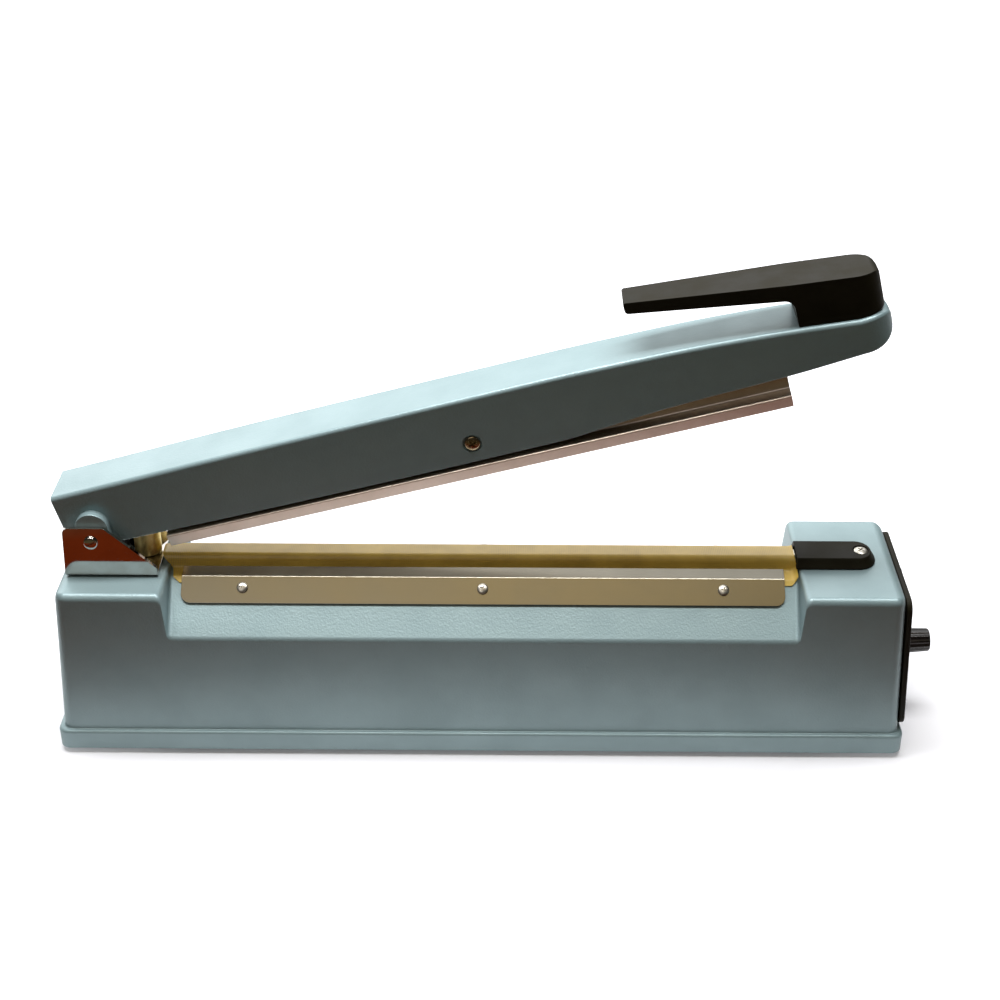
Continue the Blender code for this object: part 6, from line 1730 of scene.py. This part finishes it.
@dataclass
class Underside:
    """The rubber feet, the screws through them, and the gland in the rear wall."""

    housing: Housing
    places: tuple[tuple[str, float, float], ...] = (
        ("front_left", -FOOT_X, -FOOT_Y),
        ("front_right", FOOT_X, -FOOT_Y),
        ("rear_left", -FOOT_X, FOOT_Y),
        ("rear_right", FOOT_X, FOOT_Y),
    )
    foot_radius: float = 0.009
    foot_top: float = 0.0032
    seat: float = 0.0021
    bore: float = 0.0019
    pocket: float = 0.0037
    gland: Point = (0.15, 0.025)
    # The gland in (radius, depth): its rim outside the wall, then its neck through it
    collar: tuple[Corner, ...] = (
        (0.0078, CLEARANCE, 0.0003),
        (0.0078, 0.0025, 0.0009),
        (0.0033, 0.0025, 0.0008),
        (0.0033, -0.0065, 0),
        (0.0055, -0.0065, 0.0004),
        (0.0055, CLEARANCE, 0),
    )

    def build(self) -> None:
        """Makes the feet, their screws and the gland."""
        # The foot in (radius, height): its outside, then the stepped bore that its screw sits in
        foot = filleted(
            [
                (self.foot_radius, 0, 0.0005),
                (self.foot_radius - 0.0006, self.foot_top, 0.0003),
                (self.bore, self.foot_top, 0),
                (self.bore, self.seat, 0),
                (self.pocket, self.seat, 0),
                (self.pocket, 0, 0.0003),
            ],
            4,
        )
        seats = []
        for where, x, y in self.places:
            place = ROOT @ Matrix.Translation((x, y, 0))
            name = f"moulded_foot_{where}"
            TurnedPart(name, f"rubber_foot_{where}", "base", foot, place, RUBBER, hollow=True).build()
            down = Matrix.Translation((0, 0, self.seat)) @ Matrix.Rotation(math.pi, 4, "X")
            seats.append((f"foot_screw_{where}", place @ down))
        screw = Screw("foot_screw", head=0.0034, height=0.0014, shank=0.0016, length=0.01)
        ScrewSet("foot_screws", "base", screw, tuple(seats), ZINC_STEEL, seed=8).build()
        collar = filleted(self.collar, 5)
        x, z = self.gland
        wall = Matrix.Translation((x, self.housing.half_width(z - FLOOR_GAP), z))
        place = ROOT @ wall @ Matrix.Rotation(WALL_TILT - math.pi / 2, 4, "X")
        TurnedPart("gland_collar", "cord_gland", "base", collar, place, BLACK_ABS, hollow=True).build()


# Studio


def aimed(name: str, data: ID, place: Place, aim: Place) -> Object:
    """A new lamp or camera in the scene that looks at a point."""
    obj = link(name, data)
    obj.location = place
    obj.rotation_euler = (Vector(aim) - Vector(place)).to_track_quat("-Z", "Y").to_euler()
    return obj


@dataclass(frozen=True)
class Lamp:
    """One soft box: where it hangs, what it points at, its size and its power in watts."""

    name: str
    place: Place
    aim: Place
    size: Point
    power: float
    colour: str = "#FFFFFF"

    def build(self) -> None:
        """Hangs the soft box."""
        data = bpy.data.lights.new(self.name, "AREA")
        data.shape = "RECTANGLE"
        data.size, data.size_y = self.size
        data.energy = self.power
        data.color = srgb(self.colour)[:3]
        aimed(self.name, data, self.place, self.aim)


@dataclass(frozen=True)
class Glow:
    """A soft patch of the room as the light sees it: its direction, where it fades out, and its light."""

    toward: Place
    outer: float
    inner: float
    colour: str
    strength: float

    def add_to(self, tree: NodeTree, seen: NodeSocket, sum_so_far: object) -> object:
        """Adds the patch to the light from the room.

        Args:
            tree: The world's tree.
            seen: The direction looked at.
            sum_so_far: The colour that the patch is added to.

        Returns:
            The new sum.
        """
        aim = tuple(Vector(self.toward).normalized())
        facing = add_node(tree, "ShaderNodeVectorMath", {0: seen, 1: aim}, operation="DOT_PRODUCT")
        limits = {
            "Value": facing.outputs["Value"],
            "From Min": math.cos(math.radians(self.outer)),
            "From Max": math.cos(math.radians(self.inner)),
            "To Max": self.strength,
        }
        fade = add_node(tree, "ShaderNodeMapRange", limits, interpolation_type="SMOOTHSTEP")
        light = {0: srgb(self.colour)[:3], "Scale": fade}
        share = add_node(tree, "ShaderNodeVectorMath", light, operation="SCALE")
        return add_node(tree, "ShaderNodeVectorMath", {0: sum_so_far, 1: share})


@dataclass
class Studio:
    """The camera, white paper on a wooden table, a soft box overhead, and a dim room with soft bright patches."""

    eye: Place = (0.00843, -0.71732, 0.55598)
    target: Place = (0.00092, 0, 0.12494)
    lens: float = 60.973
    floor_half: float = 4.0
    floor_glow: float = 0.12
    paper_edge: float = -0.122
    paper_bow: float = 0.6
    paper_blur: float = 0.01
    wood_edge: float = -0.27
    wood_blur: float = 0.03
    shadow_near: float = 0.12
    shadow_far: float = 0.36
    shadow_shape: Place = (0.7, 1.1, 1.0)
    # What the camera sees behind the part, and what the light meets: the room, the floor, the wood and the paper
    backdrop: str = "#FCFCFE"
    shown_paper: str = "#E2E2E6"
    paper_light: str = "#FBFBFF"
    room: str = "#302D28"
    ground: str = "#453E2C"
    wood: str = "#561F0A"
    paper: str = "#EDEDF0"
    lamps: list[Lamp] = field(
        default_factory=lambda: [
            Lamp("overhead_soft_box", (-0.04, 0.03, 0.95), aim=(-0.04, 0.03, 0.0), size=(0.9, 0.24), power=11.6)
        ]
    )
    glows: list[Glow] = field(
        default_factory=lambda: [
            Glow((-0.35, 0.85, 0.38), 55, 15, "#FBFCFC", 0.9),
            Glow((-0.5, 0.8, 0.38), 25, 5, "#FBFCFC", 2.0),
            Glow((0.12, 0.86, 0.5), 20, 5, "#FBFCFC", 1.8),
            Glow((0, 0.15, 1), 25, 8, "#FFFFFF", 0.95),
            Glow((-0.22, 0.5, 0.8), 15, 7, "#FFFFFF", 1.1),
            Glow((0, -0.26, 0.97), 20, 6, "#FFE5AB", 0.62),
            Glow((-0.31, -0.667, 0.657), 24, 10, "#FFF9F0", 0.85),
        ]
    )

    def build_camera(self) -> None:
        """Stands the camera where the photograph was taken from."""
        data = bpy.data.cameras.new("photo_camera")
        data.lens = self.lens
        data.sensor_width = 36
        bpy.context.scene.camera = aimed("photo_camera", data, self.eye, self.target)

    @staticmethod
    def seen_directly(tree: NodeTree) -> Node:
        """Whether the camera looks at a backdrop itself, or through something clear."""
        path = add_node(tree, "ShaderNodeLightPath").outputs
        rays = {0: path["Is Camera Ray"], 1: path["Is Transmission Ray"]}
        return add_node(tree, "ShaderNodeMath", rays, operation="MAXIMUM")

    def build_world(self) -> None:
        """A white backdrop to the eye, and for the light a dim warm room with a few soft bright patches."""
        world = bpy.data.worlds.new("studio")
        world.use_nodes = True
        bpy.context.scene.world = world
        tree = world.node_tree
        tree.nodes.clear()
        toward = add_node(tree, "ShaderNodeTexCoord").outputs["Generated"]
        total = srgb(self.room)[:3]
        for glow in self.glows:
            total = glow.add_to(tree, toward, total)
        light = add_node(tree, "ShaderNodeBackground", {"Color": total, "Strength": 1.0})
        white = add_node(tree, "ShaderNodeBackground", {"Color": srgb(self.backdrop), "Strength": 1.0})
        mixed = add_node(tree, "ShaderNodeMixShader", {0: self.seen_directly(tree), 1: light, 2: white})
        add_node(tree, "ShaderNodeOutputWorld", {"Surface": mixed})

    def build_floor(self) -> None:
        """White paper that keeps the object's shadow, and to the light brown wood before its front edge."""
        bm = bmesh.new()
        side = self.floor_half
        bm.faces.new([bm.verts.new((*corner, 0)) for corner in rectangle(-side, side, -side, side)])
        mesh = bpy.data.meshes.new("studio_floor")
        bm.to_mesh(mesh)
        bm.free()
        floor = link("studio_floor", mesh)
        material = bpy.data.materials.new("table_top")
        material.use_nodes = True
        tree = material.node_tree
        tree.nodes.clear()
        where = add_node(tree, "ShaderNodeTexCoord").outputs["Object"]
        axes = add_node(tree, "ShaderNodeSeparateXYZ", {0: where}).outputs
        square = add_node(tree, "ShaderNodeMath", {0: axes["X"], 1: axes["X"]}, operation="MULTIPLY")
        bend = {0: square, 1: -self.paper_bow, 2: axes["Y"]}
        bowed = add_node(tree, "ShaderNodeMath", bend, operation="MULTIPLY_ADD")
        ground = srgb(self.ground)
        edges = ((self.wood_edge, self.wood_blur, self.wood), (self.paper_edge, self.paper_blur, self.paper))
        for edge, blur, colour in edges:
            limits = {"Value": bowed, "From Min": edge - blur, "From Max": edge + blur}
            share = add_node(tree, "ShaderNodeMapRange", limits)
            mixed = add_node(tree, "ShaderNodeMix", {"Factor": share, 6: ground, 7: srgb(colour)}, data_type="RGBA")
            ground = mixed.outputs[2]
        lit = add_node(tree, "ShaderNodeBsdfDiffuse", {"Color": ground})
        paper = add_node(tree, "ShaderNodeBsdfDiffuse", {"Color": srgb(self.shown_paper)})
        squeezed = add_node(tree, "ShaderNodeMapping", {"Vector": where, "Scale": self.shadow_shape})
        away = add_node(tree, "ShaderNodeVectorMath", {0: squeezed}, operation="LENGTH").outputs["Value"]
        span = {"Value": away, "From Min": self.shadow_near, "From Max": self.shadow_far}
        far = add_node(tree, "ShaderNodeMapRange", {**span, "To Min": self.floor_glow, "To Max": 1.0})
        glow = add_node(tree, "ShaderNodeEmission", {"Color": srgb(self.paper_light), "Strength": far})
        bright = add_node(tree, "ShaderNodeAddShader", {0: paper, 1: glow})
        mixed = add_node(tree, "ShaderNodeMixShader", {0: self.seen_directly(tree), 1: lit, 2: bright})
        add_node(tree, "ShaderNodeOutputMaterial", {"Surface": mixed})
        mesh.materials.append(material)

    def build(self) -> None:
        """Sets up the whole studio."""
        bpy.context.scene.view_settings.view_transform = "Standard"
        self.build_camera()
        self.build_world()
        self.build_floor()
        for lamp in self.lamps:
            lamp.build()


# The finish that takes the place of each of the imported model's materials
CARRIED_OVER = {
    finish.slot: finish
    for finish in (
        *(ENAMEL, BLACK_ABS, GREY_NYLON, RED_LENS, RUBBER, CHROME, STAINLESS, ZINC_STEEL, BAR_ALUMINIUM),
        *(BRASS, COPPER, CORE_STEEL, SEAL_CLOTH, GLASS_TAPE, SILICONE, BOARD_GREEN),
    )
}


def dress_nodes(nodes: dict[str, Object]) -> None:
    """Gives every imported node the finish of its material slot.

    Args:
        nodes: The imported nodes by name.
    """
    for name, node in nodes.items():
        for slot in node.material_slots:
            base = slot.material.name.split(".")[0]
            if base in CARRIED_OVER:
                slot.material = CARRIED_OVER[base].material()
        LOG.info("%s keeps its solid, with %s", name, [s.material.name for s in node.material_slots])


def main() -> None:
    """Loads the frame, builds each sub-assembly and reports each piece."""
    logging.basicConfig(level=logging.INFO, format="%(name)s: %(message)s")
    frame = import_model()
    Studio().build()
    dress_nodes(frame["nodes"])
    housing = Housing()
    housing.build()
    ClampStrips(housing).build()
    SealCloth(housing).build()
    TerminalCover().build()
    Hinge().build()
    arm = Arm()
    arm.build()
    Handle(arm).build()
    Jaw().build()
    EndControls().build()
    Underside(housing).build()


if __name__ == "__main__":
    main()
